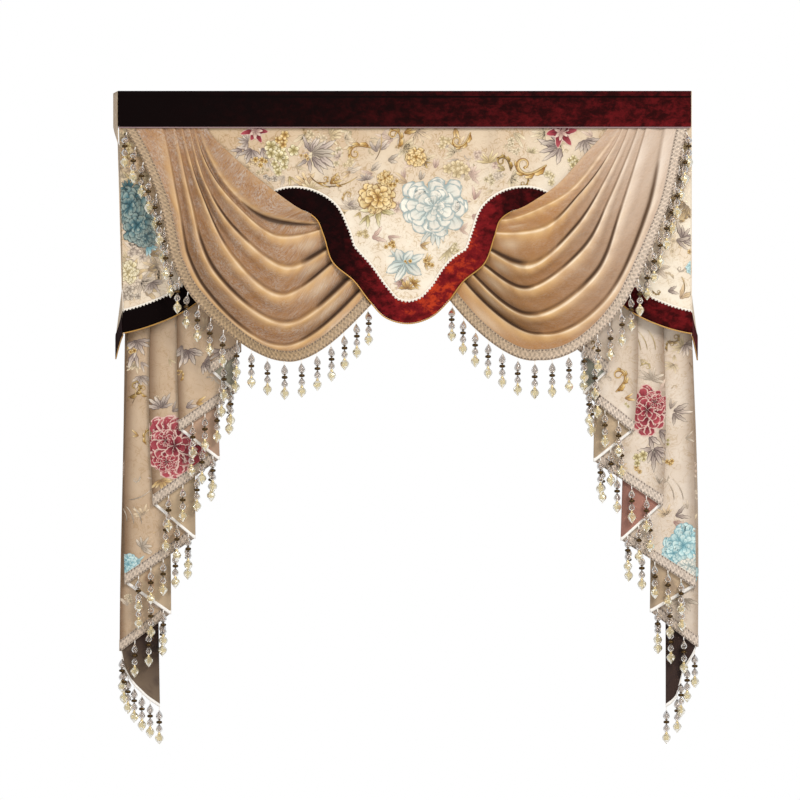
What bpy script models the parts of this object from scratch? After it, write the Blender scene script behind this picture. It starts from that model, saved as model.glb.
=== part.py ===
"""Pelmet valance in its hanging shape, in metres, +Z up, its front facing -Y.

The origin is the middle of the heading's top edge, where the valance is fixed.  The flat front
panel hangs in the plane y = 0 and the wall is at y = RETURN_DEPTH.  A sheet is a grid of points
on the middle of its cloth, thickened evenly to both sides.  x runs to the right as seen from the
front, and every z is negative because everything hangs below the top edge.
"""

import bmesh
import bpy
import numpy as np

# Driving sizes
HALF_WIDTH = 0.750
HEADER_DROP = 0.094
HEADER_BACK_DROP = 0.045
RETURN_DEPTH = 0.111
GAP = 0.0003
WELD = 0.00001

PANEL_THICK = 0.002
HEADER_THICK = 0.002
VELVET_THICK = 0.0012
SWAG_THICK = 0.0015
TAIL_THICK = 0.0012
BRAID_THICK = 0.0012

BORDER_WIDTH = 0.058
GIMP_WIDTH = 0.008
PIPING_RADIUS = 0.002
WELT_RADIUS = 0.0015
BRAID_WIDTH = 0.021
BRAID_PARTING = 0.001
STRAND_LENGTH = 0.097

# Depths of the heading's two layers and of the cloth under it
HEADER_FRONT_Y = -0.0095
HEADER_BACK_Y = 0.0035
HEADER_CORNER = 0.002
HEADER_CORNER_CUT = 0.3
HEADER_COLUMNS = 5
WELT_PROUD = 0.0005
PANEL_FRONT_Y = -PANEL_THICK / 2
PANEL_BACK_Y = PANEL_THICK / 2
BORDER_Y = PANEL_FRONT_Y - GAP - VELVET_THICK / 2
GIMP_Y = BORDER_Y - VELVET_THICK / 2 - GAP - VELVET_THICK / 2

# The lower edge of the front panel, left to right: two side drops, two arches and the middle shield
PANEL_HEM = np.array([
    # x, z
    (-0.735, -0.632),
    (-0.665, -0.613),
    (-0.562, -0.565),
    (-0.452, -0.448),
    (-0.357, -0.338),
    (-0.297, -0.309),
    (-0.260, -0.314),
    (-0.230, -0.334),
    (-0.210, -0.378),
    (-0.187, -0.446),
    (-0.130, -0.497),
    (-0.090, -0.549),
    (-0.048, -0.592),
    (0.010, -0.607),
    (0.069, -0.590),
    (0.111, -0.552),
    (0.153, -0.497),
    (0.208, -0.450),
    (0.234, -0.380),
    (0.250, -0.336),
    (0.278, -0.315),
    (0.321, -0.308),
    (0.381, -0.335),
    (0.486, -0.448),
    (0.590, -0.573),
    (0.670, -0.612),
    (0.750, -0.633),
])
HEM_SPANS = 56
HEM_FINE_SPANS = 600
SIDE_SLANT = 0.015
SLANT_START = -0.600

# Side returns: the front edge, and how far the rear edge stands further out.  RETURN_LEVELS are the
# grid's rows, as heights above the hem, and None is the top edge.
RETURNS = {
    # side, front edge x at top, at hem, front hem z, rear hem z, flare at top, over the middle, at hem
    "left": (-1.0, -0.7500, -0.7350, -0.640, -0.700, 0.016, 0.000, 0.024),
    "right": (1.0, 0.7500, 0.7500, -0.641, -0.703, 0.003, 0.000, 0.020),
}
RETURN_FLARE_AT = (0.0, 0.10, 0.72, 1.0)
RETURN_HEM_CURVE = 1.3
RETURN_TOP = -0.0005
RETURN_LEVELS = (None, 0.545, 0.300, 0.140, BORDER_WIDTH, 0.0)
RETURN_WALL_GAP = 0.002
RETURN_COLUMNS = 6

# Where each fold line of a swag passes: under the heading, at its upper flank, at its side, at its
# lowest and at the shield's edge.  "out" is how far it bulges forwards at the middle three places,
# and "fold" is how deep the valley below that crest is.
SWAG_FIELDS = (
    "top_x", "flank_x", "flank_z", "side_x", "side_z", "low_x", "low_z", "end_x", "end_z",
    "flank_out", "side_out", "low_out", "fold",
)
SWAG_LEFT = (
    (-0.520, -0.452, -0.168, -0.381, -0.230, -0.305, -0.288, -0.237, -0.333, 0.003, 0.006, 0.0075, 0.004),
    (-0.538, -0.501, -0.188, -0.446, -0.267, -0.365, -0.325, -0.237, -0.346, 0.010, 0.016, 0.016, 0.010),
    (-0.551, -0.514, -0.202, -0.446, -0.295, -0.336, -0.382, -0.219, -0.364, 0.014, 0.022, 0.026, 0.013),
    (-0.564, -0.520, -0.246, -0.441, -0.369, -0.313, -0.466, -0.203, -0.418, 0.017, 0.028, 0.034, 0.015),
    (-0.583, -0.536, -0.259, -0.452, -0.435, -0.323, -0.539, -0.187, -0.452, 0.020, 0.034, 0.040, 0.016),
    (-0.603, -0.567, -0.283, -0.493, -0.484, -0.313, -0.613, -0.142, -0.497, 0.022, 0.038, 0.046, 0.016),
    (-0.637, -0.606, -0.298, -0.520, -0.526, -0.321, -0.671, -0.112, -0.524, 0.024, 0.040, 0.048, 0.004),
    (-0.735, -0.660, -0.285, -0.551, -0.545, -0.312, -0.708, -0.088, -0.560, 0.019, 0.034, 0.041, 0.000),
)
SWAG_RIGHT = (
    (0.533, 0.470, -0.168, 0.402, -0.243, 0.336, -0.289, 0.271, -0.327, 0.003, 0.006, 0.0075, 0.003),
    (0.562, 0.512, -0.170, 0.441, -0.257, 0.355, -0.308, 0.262, -0.338, 0.010, 0.014, 0.014, 0.006),
    (0.572, 0.520, -0.192, 0.459, -0.271, 0.370, -0.359, 0.242, -0.372, 0.013, 0.020, 0.024, 0.012),
    (0.589, 0.525, -0.238, 0.444, -0.367, 0.329, -0.463, 0.221, -0.419, 0.017, 0.028, 0.034, 0.016),
    (0.614, 0.538, -0.285, 0.467, -0.419, 0.323, -0.521, 0.203, -0.456, 0.020, 0.034, 0.040, 0.017),
    (0.635, 0.569, -0.312, 0.499, -0.487, 0.334, -0.592, 0.174, -0.479, 0.022, 0.038, 0.046, 0.017),
    (0.687, 0.645, -0.306, 0.530, -0.550, 0.357, -0.641, 0.156, -0.502, 0.024, 0.040, 0.048, 0.004),
    (0.742, 0.692, -0.293, 0.554, -0.586, 0.350, -0.705, 0.119, -0.549, 0.019, 0.034, 0.041, 0.000),
)
SWAG_STATIONS = np.array([-0.08, 0.0, 0.25, 0.5, 0.75, 1.0, 1.12])
SWAG_HEAD_Z = -0.060
SWAG_HEAD_SLOPE = 0.6
SWAG_HEAD_Y = -0.0062
SWAG_END_Y = 0.0048
SWAG_TUCK_Y = 0.0026
SWAG_TUCK = 0.028
SWAG_TUCK_ASIDE = 0.5
SWAG_TUCK_RISE = 0.4
FOLD_SHARE = np.array([0.20, 0.25, 0.80, 1.00, 1.00, 0.50, 0.30])
VALLEY_AT = 0.72
FOLD_STEPS = (0.0, 0.34, 0.70, 0.88)
SWAG_SPANS = 15
SWAG_STRANDS = 24

# Fold edges of a pleated tail, from its short front run to its long rear one: the edge's x under
# the heading, and its x and z at the hem.  Inner and outer edges take turns.
TAIL_LEFT = np.array([
    # top_x, hem_x, hem_z
    (-0.436, -0.428, -0.683),
    (-0.501, -0.505, -0.738),
    (-0.449, -0.441, -0.791),
    (-0.585, -0.590, -0.890),
    (-0.491, -0.484, -0.966),
    (-0.656, -0.661, -1.086),
    (-0.554, -0.548, -1.173),
    (-0.7215, -0.734, -1.293),
    (-0.619, -0.615, -1.372),
    (-0.7255, -0.747, -1.469),
    (-0.648, -0.644, -1.618),
])
TAIL_RIGHT = np.array([
    # top_x, hem_x, hem_z
    (0.462, 0.453, -0.678),
    (0.528, 0.533, -0.738),
    (0.475, 0.467, -0.793),
    (0.593, 0.600, -0.893),
    (0.504, 0.497, -0.971),
    (0.666, 0.675, -1.086),
    (0.575, 0.569, -1.178),
    (0.7335, 0.757, -1.301),
    (0.648, 0.644, -1.367),
    (0.7385, 0.766, -1.458),
    (0.690, 0.686, -1.618),
])
TAIL_TOP = -HEADER_BACK_DROP - 0.003
TAIL_ROWS = 7
TAIL_FRONT_Y = PANEL_BACK_Y + GAP + TAIL_THICK / 2
LAYER_PITCH_TOP = 0.0016
LAYER_PITCH_HEM = 0.0065
LAYER_SPLAY_START = 0.10
LAYER_SPLAY_LENGTH = 0.50
TAIL_SPREAD_CURVE = 1.5
RUN_BULGE = 0.0015
TAIL_STRAND_PITCH = 0.042
TAIL_STRAND_MARGIN = 0.006
RUN_POINTS = (0.0, 0.33, 0.67, 1.0)

# A bead strand's outline: share of its length below the root, and half its width there
STRAND_RINGS = (
    (0.05, 0.0012),
    (0.24, 0.0055),
    (0.44, 0.0025),
    (0.83, 0.0085),
    (1.00, 0.0010),
)
STRAND_ROOT_WIDTH = 0.003
STRAND_LEAN = 0.010
STRAND_STAGGER = 0.0145
STRAND_LEAN_DONE = 0.24
STRAND_SET_OFF = 0.005
STRAND_TURN_SLOPE = 2.0
STRAND_CLEAR_Y = -0.0185
FIRST_STRAND_DROP = 0.014
LAST_STRAND_INSET = 0.012

COLOURS = {
    # colour, roughness, metallic
    "burgundy_velvet": ((0.16, 0.008, 0.012), 0.75, 0.0),
    "mauve_welt": ((0.45, 0.30, 0.33), 0.60, 0.0),
    "floral_jacquard": ((0.72, 0.60, 0.44), 0.70, 0.0),
    "tan_velvet": ((0.48, 0.29, 0.14), 0.65, 0.0),
    "gold_piping": ((0.62, 0.40, 0.12), 0.35, 0.3),
    "ivory_gimp": ((0.80, 0.75, 0.68), 0.70, 0.0),
    "bead_fringe": ((0.55, 0.47, 0.40), 0.30, 0.1),
}


def curve_through(knots, stations, at):
    """Smooth curve through rows of knots: cubic pieces whose slopes are three-point slopes."""
    slopes = np.gradient(knots, stations, axis=0, edge_order=2)
    piece = np.clip(np.searchsorted(stations, at, side="right") - 1, 0, len(stations) - 2)
    width = (stations[piece + 1] - stations[piece])[:, None]
    s = (at[:, None] - stations[piece][:, None]) / width
    start, end = knots[piece], knots[piece + 1]
    leave, arrive = slopes[piece] * width, slopes[piece + 1] * width
    return (
        (2 * s**3 - 3 * s**2 + 1) * start
        + (s**3 - 2 * s**2 + s) * leave
        + (3 * s**2 - 2 * s**3) * end
        + (s**3 - s**2) * arrive
    )


def lengths_along(points):
    """Distance of each point from the first, measured along the points."""
    steps = np.linalg.norm(np.diff(points, axis=0), axis=1)
    return np.concatenate(([0.0], np.cumsum(steps)))


def points_at(line, distances):
    """Points of a polyline at given distances along it."""
    along = lengths_along(line)
    return np.column_stack([np.interp(distances, along, line[:, axis]) for axis in range(line.shape[1])])


def finish_for(name):
    """Material of one finish from the colour table."""
    material = bpy.data.materials.get(name) or bpy.data.materials.new(name)
    material.use_nodes = True
    colour, roughness, metallic = COLOURS[name]
    shader = material.node_tree.nodes["Principled BSDF"]
    shader.inputs["Base Color"].default_value = (*colour, 1.0)
    shader.inputs["Roughness"].default_value = roughness
    shader.inputs["Metallic"].default_value = metallic
    material.diffuse_color = (*colour, 1.0)
    return material


def add_mesh(name, points, faces, finish):
    """New object with this mesh, in the valance's collection."""
    mesh = bpy.data.meshes.new(name)
    mesh.from_pydata(points.tolist(), [], faces)
    mesh.update()
    mesh.materials.append(finish_for(finish))
    piece = bpy.data.objects.new(name, mesh)
    valance.objects.link(piece)
    return piece


def grid_faces(rows, columns):
    """Quads of a grid whose points are numbered row by row."""
    row, column = np.meshgrid(np.arange(rows - 1), np.arange(columns - 1), indexing="ij")
    first = (row * columns + column).ravel()
    return np.column_stack((first, first + 1, first + columns + 1, first + columns)).tolist()


def add_cloth(name, grid, thickness, finish):
    """Sheet of cloth: the grid is its middle surface, thickened by half to each side."""
    rows, columns, _ = grid.shape
    piece = add_mesh(name, grid.reshape(-1, 3), grid_faces(rows, columns), finish)
    solidify = piece.modifiers.new("Thickness", "SOLIDIFY")
    solidify.thickness = thickness
    solidify.offset = 0.0
    solidify.use_even_offset = True
    piece.data.shade_smooth()
    return piece


def add_cord(name, route, radius, finish):
    """Four-sided cord along a route, its ends closed."""
    curve = bpy.data.curves.new(name + "_route", "CURVE")
    curve.dimensions = "3D"
    curve.bevel_depth = radius
    curve.bevel_resolution = 0
    curve.use_fill_caps = True
    spline = curve.splines.new("POLY")
    spline.points.add(len(route) - 1)
    spline.points.foreach_set("co", np.column_stack((route, np.ones(len(route)))).ravel())
    guide = bpy.data.objects.new(name + "_route", curve)
    valance.objects.link(guide)
    mesh = bpy.data.meshes.new_from_object(guide.evaluated_get(bpy.context.evaluated_depsgraph_get()))
    bpy.data.objects.remove(guide)
    work = bmesh.new()
    work.from_mesh(mesh)
    bmesh.ops.remove_doubles(work, verts=work.verts, dist=WELD)
    bmesh.ops.recalc_face_normals(work, faces=work.faces)
    work.to_mesh(mesh)
    work.free()
    mesh.name = name
    mesh.materials.clear()
    mesh.materials.append(finish_for(finish))
    piece = bpy.data.objects.new(name, mesh)
    valance.objects.link(piece)
    return piece


def panel_hem_line():
    """Panel hem with its unit normals, which point up into the panel, evenly spaced."""
    knots = lengths_along(PANEL_HEM)
    fine = curve_through(PANEL_HEM, knots, np.linspace(0.0, knots[-1], HEM_FINE_SPANS + 1))
    hem = points_at(fine, np.linspace(0.0, lengths_along(fine)[-1], HEM_SPANS + 1))
    tangent = np.gradient(hem, axis=0)
    tangent /= np.linalg.norm(tangent, axis=1)[:, None]
    return hem, np.column_stack((-tangent[:, 1], tangent[:, 0]))


def hem_offset(hem, normal, distance):
    """Line at a distance inside the panel's hem, kept between the panel's side edges."""
    line = hem + normal * distance
    line[:, 0] = np.clip(line[:, 0], hem[0, 0], hem[-1, 0])
    return line


def flat_strip(inner, outer, y):
    """Grid of a flat strip between two lines of the same number of points, at one depth."""
    lines = np.stack((inner, outer))
    return np.stack((lines[..., 0], np.full(lines.shape[:2], y), lines[..., 1]), axis=-1)


def make_header():
    """Heading band folded over the panel's top edge, with a welt along its lower edge."""
    turn = HEADER_CORNER
    cut = HEADER_CORNER_CUT * turn
    top = -HEADER_THICK / 2
    profile = np.array([
        (HEADER_FRONT_Y, -HEADER_DROP),
        (HEADER_FRONT_Y, -HEADER_DROP / 2),
        (HEADER_FRONT_Y, top - turn),
        (HEADER_FRONT_Y + cut, top - cut),
        (HEADER_FRONT_Y + turn, top),
        (HEADER_BACK_Y - turn, top),
        (HEADER_BACK_Y - cut, top - cut),
        (HEADER_BACK_Y, top - turn),
        (HEADER_BACK_Y, -HEADER_BACK_DROP),
    ])
    across = np.linspace(-HALF_WIDTH, HALF_WIDTH, HEADER_COLUMNS)
    grid = np.zeros((len(profile), len(across), 3))
    grid[..., 0] = across[None, :]
    grid[..., 1] = profile[:, 0, None]
    grid[..., 2] = profile[:, 1, None]
    add_cloth("header_band", grid, HEADER_THICK, "burgundy_velvet")

    welt = np.zeros((len(across), 3))
    welt[:, 0] = across
    welt[:, 1] = HEADER_FRONT_Y - WELT_PROUD
    welt[:, 2] = -HEADER_DROP - GAP - WELT_RADIUS
    add_cord("header_piping", welt, WELT_RADIUS, "mauve_welt")


def make_panel():
    """Flat shaped front panel with its velvet border, scalloped gimp and piped hem."""
    hem, normal = panel_hem_line()
    top = hem.copy()
    top[:, 0] -= SIDE_SLANT * np.clip((SLANT_START - hem[:, 0]) / (SLANT_START - hem[0, 0]), 0.0, 1.0)
    top[:, 1] = -HEADER_THICK - GAP
    add_cloth("panel", flat_strip(top, hem, 0.0), PANEL_THICK, "floral_jacquard")

    inner = hem_offset(hem, normal, BORDER_WIDTH)
    add_cloth("border", flat_strip(inner, hem, BORDER_Y), VELVET_THICK, "burgundy_velvet")

    upper = hem_offset(hem, normal, BORDER_WIDTH + GIMP_WIDTH / 2)
    lower = hem_offset(hem, normal, BORDER_WIDTH - GIMP_WIDTH / 2)
    add_cloth("gimp", flat_strip(upper, lower, GIMP_Y), VELVET_THICK, "ivory_gimp")

    edge = hem_offset(hem, normal, -PIPING_RADIUS - GAP)
    route = np.column_stack((edge[:, 0], np.full(len(edge), BORDER_Y + PIPING_RADIUS / 2), edge[:, 1]))
    add_cord("border_piping", route, PIPING_RADIUS, "gold_piping")


def return_grid(row, levels, aside):
    """Grid on a side return, whose rows are levels above its sloping hem, None for its top."""
    side, top_x, hem_x, front_z, rear_z, flare_top, flare_middle, flare_hem = row
    share = np.linspace(0.0, 1.0, RETURN_COLUMNS)
    depth = PANEL_FRONT_Y + (RETURN_DEPTH - RETURN_WALL_GAP - PANEL_FRONT_Y) * share
    hem_z = front_z + (rear_z - front_z) * share**RETURN_HEM_CURVE
    top_z = np.full(RETURN_COLUMNS, RETURN_TOP)
    z = np.array([top_z if level is None else hem_z + level for level in levels])
    height = np.clip((z + HEADER_DROP) / (front_z + HEADER_DROP), 0.0, 1.0)
    edge_x = top_x + (hem_x - top_x) * height
    flare = np.interp(height, RETURN_FLARE_AT, (flare_top, flare_middle, flare_middle, flare_hem))
    x = edge_x + side * (aside + flare * share)
    return np.stack((x, np.broadcast_to(depth, x.shape), z), axis=-1)


def make_return(name, row):
    """One side return with its border strip and the piping on its hem."""
    cloth_aside = GAP + PANEL_THICK / 2
    border_aside = cloth_aside + PANEL_THICK / 2 + GAP + VELVET_THICK / 2
    cloth = return_grid(row, RETURN_LEVELS, cloth_aside)
    add_cloth(f"return_{name}", cloth, PANEL_THICK, "floral_jacquard")
    border = return_grid(row, (BORDER_WIDTH, 0.0), border_aside)
    add_cloth(f"return_border_{name}", border, VELVET_THICK, "burgundy_velvet")
    line = return_grid(row, (-1.5 * PIPING_RADIUS - GAP,), (cloth_aside + border_aside) / 2)[0]
    add_cord(f"return_piping_{name}", line, PIPING_RADIUS, "gold_piping")


def fold_lines(table, at):
    """Crest lines of a swag at the given places along it: array of lines, places, (x, y, z)."""
    rows = [dict(zip(SWAG_FIELDS, row)) for row in table]
    lines = []
    for row in rows:
        flank = (row["flank_x"], SWAG_HEAD_Y - row["flank_out"], row["flank_z"])
        side = (row["side_x"], SWAG_HEAD_Y - row["side_out"], row["side_z"])
        low = (row["low_x"], SWAG_HEAD_Y - row["low_out"], row["low_z"])
        end = np.array((row["end_x"], SWAG_END_Y, row["end_z"]))
        onward = end - np.array(low)
        onward[1] = 0.0
        onward /= np.linalg.norm(onward)
        onward = onward / 2 + np.array((SWAG_TUCK_ASIDE * np.sign(onward[0]), 0.0, SWAG_TUCK_RISE))
        tuck = end + onward / np.linalg.norm(onward) * SWAG_TUCK
        tuck[1] = SWAG_TUCK_Y
        slope = SWAG_HEAD_SLOPE * (row["flank_x"] - row["top_x"]) / (row["flank_z"] + HEADER_DROP)
        head_x = row["top_x"] + slope * (SWAG_HEAD_Z + HEADER_DROP)
        knots = np.array([
            (head_x, SWAG_HEAD_Y, SWAG_HEAD_Z),
            (row["top_x"], SWAG_HEAD_Y, -HEADER_DROP),
            flank,
            side,
            low,
            end,
            tuck,
        ])
        lines.append(curve_through(knots, SWAG_STATIONS, at))
    return np.array(lines)


def swag_places():
    """Places along a swag where its grid has columns, from the heading to the tucked end."""
    return np.concatenate((SWAG_STATIONS[:1], np.linspace(0.0, 1.0, SWAG_SPANS), SWAG_STATIONS[-1:]))


def valley_shape(share):
    """0 at a crest, 1 in the valley near the next crest: a slow fall and a quick rise."""
    fall = 0.5 - 0.5 * np.cos(np.pi * np.clip(share / VALLEY_AT, 0.0, 1.0))
    rise = 0.5 + 0.5 * np.cos(np.pi * np.clip((share - VALLEY_AT) / (1.0 - VALLEY_AT), 0.0, 1.0))
    return np.where(share < VALLEY_AT, fall, rise)


def swag_row(lines, folds, index, share, amount):
    """One row of a swag, a share of the way from crest index to the next crest."""
    share = np.broadcast_to(share, amount.shape)
    row = lines[index] + (lines[index + 1] - lines[index]) * share[:, None]
    row[:, 1] += folds[index] * amount * valley_shape(share)
    return row


def make_swag(name, table):
    """Gathered swag whose rolls run from the heading to the edge of the shield, and its fringe."""
    at = swag_places()
    lines = fold_lines(table, at)
    folds = [row[-1] for row in table]
    amount = np.interp(at, SWAG_STATIONS, FOLD_SHARE)
    rows = [
        swag_row(lines, folds, index, share, amount)
        for index in range(len(table) - 2)
        for share in FOLD_STEPS
    ]
    last = len(table) - 2
    width = np.linalg.norm((lines[-1] - lines[-2])[:, (0, 2)], axis=1)
    stop = 1.0 - (BRAID_WIDTH + BRAID_PARTING) / width
    rows += [swag_row(lines, folds, last, stop * share, amount) for share in (0.0, 0.5, 1.0)]
    grid = np.array(rows)
    if grid[0, 0, 0] > 0.0:
        grid = grid[::-1]
    add_cloth(f"swag_{name}", grid, SWAG_THICK, "tan_velvet")

    inner = swag_row(lines, folds, last, 1.0 - BRAID_WIDTH / width, amount)[:-1]
    outer = swag_row(lines, folds, last, 1.0, amount)[:-1]
    along = lengths_along(outer)
    first = np.interp(HEADER_DROP + FIRST_STRAND_DROP, -outer[:3, 2], along[:3])
    strands = np.linspace(first, along[-1] - LAST_STRAND_INSET, SWAG_STRANDS)
    depths = points_at(outer, strands)[:, 1]
    steepness = np.interp(strands, along, np.abs(np.gradient(outer[:, 2], along)))
    stagger = STRAND_STAGGER * steepness * (np.arange(SWAG_STRANDS) % 2)
    leans = np.maximum(0.0, depths - STRAND_CLEAR_Y) + stagger
    make_fringe(f"swag_fringe_{name}", inner, outer, strands, leans)


def make_fringe(name, inner, outer, strands, leans):
    """Braid strip between two lines, with a four-sided bead strand hanging from each root.

    strands are the distances of the roots along the outer line, and leans are how far forward each
    strand's tip lies.
    """
    along = lengths_along(outer)
    half = STRAND_ROOT_WIDTH / 2
    nearest = np.abs(along[:, None] - strands[None, :]).min(axis=1)
    stops = along[nearest > STRAND_ROOT_WIDTH]
    cuts = np.concatenate((strands - half, strands + half, stops))
    kinds = np.concatenate((np.arange(len(strands)), np.full(len(strands) + len(stops), -1)))
    order = np.argsort(cuts)
    cuts, kinds = cuts[order], kinds[order]
    low = points_at(outer, cuts)
    high = np.column_stack([np.interp(cuts, along, inner[:, axis]) for axis in range(3)])

    tangent = np.gradient(low, cuts, axis=0)
    across = low - high
    facing = np.cross(tangent, across)
    facing /= np.linalg.norm(facing, axis=1)[:, None]
    half_thick = facing * BRAID_THICK / 2
    aside = across * STRAND_SET_OFF / np.linalg.norm(across, axis=1)[:, None]
    count = len(cuts)
    points = [high + half_thick, low + half_thick, low - half_thick, high - half_thick]
    front_high, front_low, back_low, back_high = (np.arange(count) + count * k for k in range(4))
    faces = []
    for a in range(count - 1):
        b = a + 1
        faces.append((front_high[a], front_low[a], front_low[b], front_high[b]))
        faces.append((back_low[a], back_high[a], back_high[b], back_low[b]))
        faces.append((back_high[a], front_high[a], front_high[b], back_high[b]))
        if kinds[a] < 0:
            faces.append((front_low[a], back_low[a], back_low[b], front_low[b]))
    for end, turn in ((0, 1), (count - 1, -1)):
        faces.append((front_high[end], back_high[end], back_low[end], front_low[end])[::turn])

    rings = []
    next_point = 4 * count
    for a in np.flatnonzero(kinds >= 0):
        b = a + 1
        root = (low[a] + low[b]) / 2
        heading = np.array((tangent[a, 0], tangent[a, 1], 0.0))
        if abs(tangent[a, 1]) > STRAND_TURN_SLOPE * abs(tangent[a, 0]):
            heading = np.array((np.sign(tangent[a, 0]), 0.0, 0.0))
        heading /= np.linalg.norm(heading)
        outward = np.cross(heading, (0.0, 0.0, -1.0))
        ring = (front_low[a], front_low[b], back_low[b], back_low[a])
        for share, width in STRAND_RINGS:
            done = min(1.0, share / STRAND_LEAN_DONE)
            middle = root + aside[a] * done - np.array((0.0, leans[kinds[a]] * done, STRAND_LENGTH * share))
            corners = [
                middle - heading * width + outward * width,
                middle + heading * width + outward * width,
                middle + heading * width - outward * width,
                middle - heading * width - outward * width,
            ]
            rings.append(np.array(corners))
            new_ring = tuple(next_point + np.arange(4))
            next_point += 4
            faces += [
                (ring[k], new_ring[k], new_ring[(k + 1) % 4], ring[(k + 1) % 4]) for k in range(4)
            ]
            ring = new_ring
        faces.append(ring[::-1])
    shape = np.concatenate(points + rings)
    piece = add_mesh(name, shape, [tuple(int(i) for i in face) for face in faces], "bead_fringe")
    work = bmesh.new()
    work.from_mesh(piece.data)
    bmesh.ops.recalc_face_normals(work, faces=work.faces)
    work.to_mesh(piece.data)
    work.free()


def tail_section(table):
    """Places across a pleated tail: run number, share of the run, and its layer's number.

    Between two runs the cloth turns round a fold edge, half a layer pitch further back.
    """
    places = []
    for run in range(len(table) - 1):
        places += [(run, share, float(run)) for share in RUN_POINTS]
        if run < len(table) - 2:
            places.append((run, 1.0, run + 0.5))
    return np.array(places)


def layer_pitch(z):
    """Distance from one layer of a tail to the next: pinched at the top, splayed lower down."""
    s = np.clip((-z - LAYER_SPLAY_START) / LAYER_SPLAY_LENGTH, 0.0, 1.0)
    return LAYER_PITCH_TOP + (LAYER_PITCH_HEM - LAYER_PITCH_TOP) * s * s * (3.0 - 2.0 * s)


def tail_grid(table, places, drops, cut):
    """Points of a tail.  drops are shares of the way from its top to its hem, cut shortens it."""
    run = places[:, 0].astype(int)
    share, layer = places[:, 1], places[:, 2]
    top_x = table[run, 0] + (table[run + 1, 0] - table[run, 0]) * share
    hem_x = table[run, 1] + (table[run + 1, 1] - table[run, 1]) * share
    hem_z = table[run, 2] + (table[run + 1, 2] - table[run, 2]) * share + cut
    drop = np.asarray(drops)[:, None]
    z = TAIL_TOP + (hem_z - TAIL_TOP)[None, :] * drop
    pitch = layer_pitch(z)
    inset = np.sign(table[run, 1] - table[run + 1, 1])
    turn = np.where(layer % 1.0 > 0.0, 0.0, 0.5)
    ends = np.where(share == 1.0, 1.0, 0.0) - np.where(share == 0.0, 1.0, 0.0)
    ends[0] = 0.0
    ends[-1] = 0.0
    x = top_x + (hem_x - top_x) * drop**TAIL_SPREAD_CURVE + inset * ends * turn * pitch
    bulge = RUN_BULGE * (pitch - LAYER_PITCH_TOP) / (LAYER_PITCH_HEM - LAYER_PITCH_TOP)
    y = TAIL_FRONT_Y + layer * pitch + bulge * (1.0 - np.sin(np.pi * share))
    return np.stack((x, y, z), axis=-1)


def make_tail(name, table):
    """Pleated tail folded back and forth behind the panel's side, cut slanting, with its fringe."""
    places = tail_section(table)
    grid = tail_grid(table, places, np.linspace(0.0, 1.0, TAIL_ROWS), BRAID_WIDTH + BRAID_PARTING)
    add_cloth(f"tail_{name}", grid, TAIL_THICK, "floral_jacquard")

    inner = tail_grid(table, places, [1.0], BRAID_WIDTH)[0]
    outer = tail_grid(table, places, [1.0], 0.0)[0]
    along = lengths_along(outer)
    strands = []
    for run in range(len(table) - 1):
        flat = (places[:, 0] == run) & (places[:, 2] == run)
        order = np.argsort(outer[flat, 0])
        across, distance = outer[flat, 0][order], along[flat][order]
        pitch = TAIL_STRAND_PITCH
        start = np.ceil((across[0] + TAIL_STRAND_MARGIN) / pitch + run % 2 / 2) - run % 2 / 2
        at = np.arange(start * pitch, across[-1] - TAIL_STRAND_MARGIN, pitch)
        strands.append(np.interp(at, across, distance))
    strands = np.sort(np.concatenate(strands))
    make_fringe(f"tail_fringe_{name}", inner, outer, strands, np.full(len(strands), STRAND_LEAN))


for old in list(bpy.data.objects):
    bpy.data.objects.remove(old)
valance = bpy.data.collections.new("pelmet_valance")
bpy.context.scene.collection.children.link(valance)

make_header()
make_panel()
for side_name, side_row in RETURNS.items():
    make_return(side_name, side_row)
for side_name, swag_table in (("left", SWAG_LEFT), ("right", SWAG_RIGHT)):
    make_swag(side_name, swag_table)
for side_name, tail_table in (("left", TAIL_LEFT), ("right", TAIL_RIGHT)):
    make_tail(side_name, tail_table)
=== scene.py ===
"""Looks of the pelmet valance: cloth, woven flowers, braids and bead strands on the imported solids.

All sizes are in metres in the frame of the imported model: +Z up, the front towards -Y, the origin in
the middle of the heading's top edge.  Every cloth is a grid of points, the function of one
parameter across it and one down it, and the flowers are woven on it in its own two parameters.
"""

import bpy
import numpy as np
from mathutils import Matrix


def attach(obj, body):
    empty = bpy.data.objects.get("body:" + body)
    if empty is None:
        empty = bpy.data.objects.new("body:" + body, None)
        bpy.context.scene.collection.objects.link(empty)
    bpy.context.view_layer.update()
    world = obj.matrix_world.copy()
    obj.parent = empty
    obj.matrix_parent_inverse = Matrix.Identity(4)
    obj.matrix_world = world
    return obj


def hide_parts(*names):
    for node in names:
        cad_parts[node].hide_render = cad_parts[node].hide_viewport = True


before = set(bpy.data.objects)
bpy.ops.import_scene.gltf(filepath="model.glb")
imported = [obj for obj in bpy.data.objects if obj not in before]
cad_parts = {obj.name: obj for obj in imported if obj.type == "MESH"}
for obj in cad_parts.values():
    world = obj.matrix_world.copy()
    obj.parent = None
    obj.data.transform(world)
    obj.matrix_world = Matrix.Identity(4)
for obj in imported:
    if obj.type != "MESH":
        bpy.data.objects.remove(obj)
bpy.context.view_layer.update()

# Heading, panel and returns
HALF_WIDTH = 0.750
HEADER_DROP = 0.094
HEADER_BACK_DROP = 0.045
HEADER_FRONT_Y = -0.0105
HEADER_BACK_Y = 0.0045
RETURN_REAR_Y = 0.109
PANEL_Y = -0.001
BORDER_Y = -0.0025
GIMP_Y = -0.0028
BORDER_WIDTH = 0.058
PIPING_RADIUS = 0.0017
WELT_RADIUS = 0.0016
CLOTH_THICK = 0.0015

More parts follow.
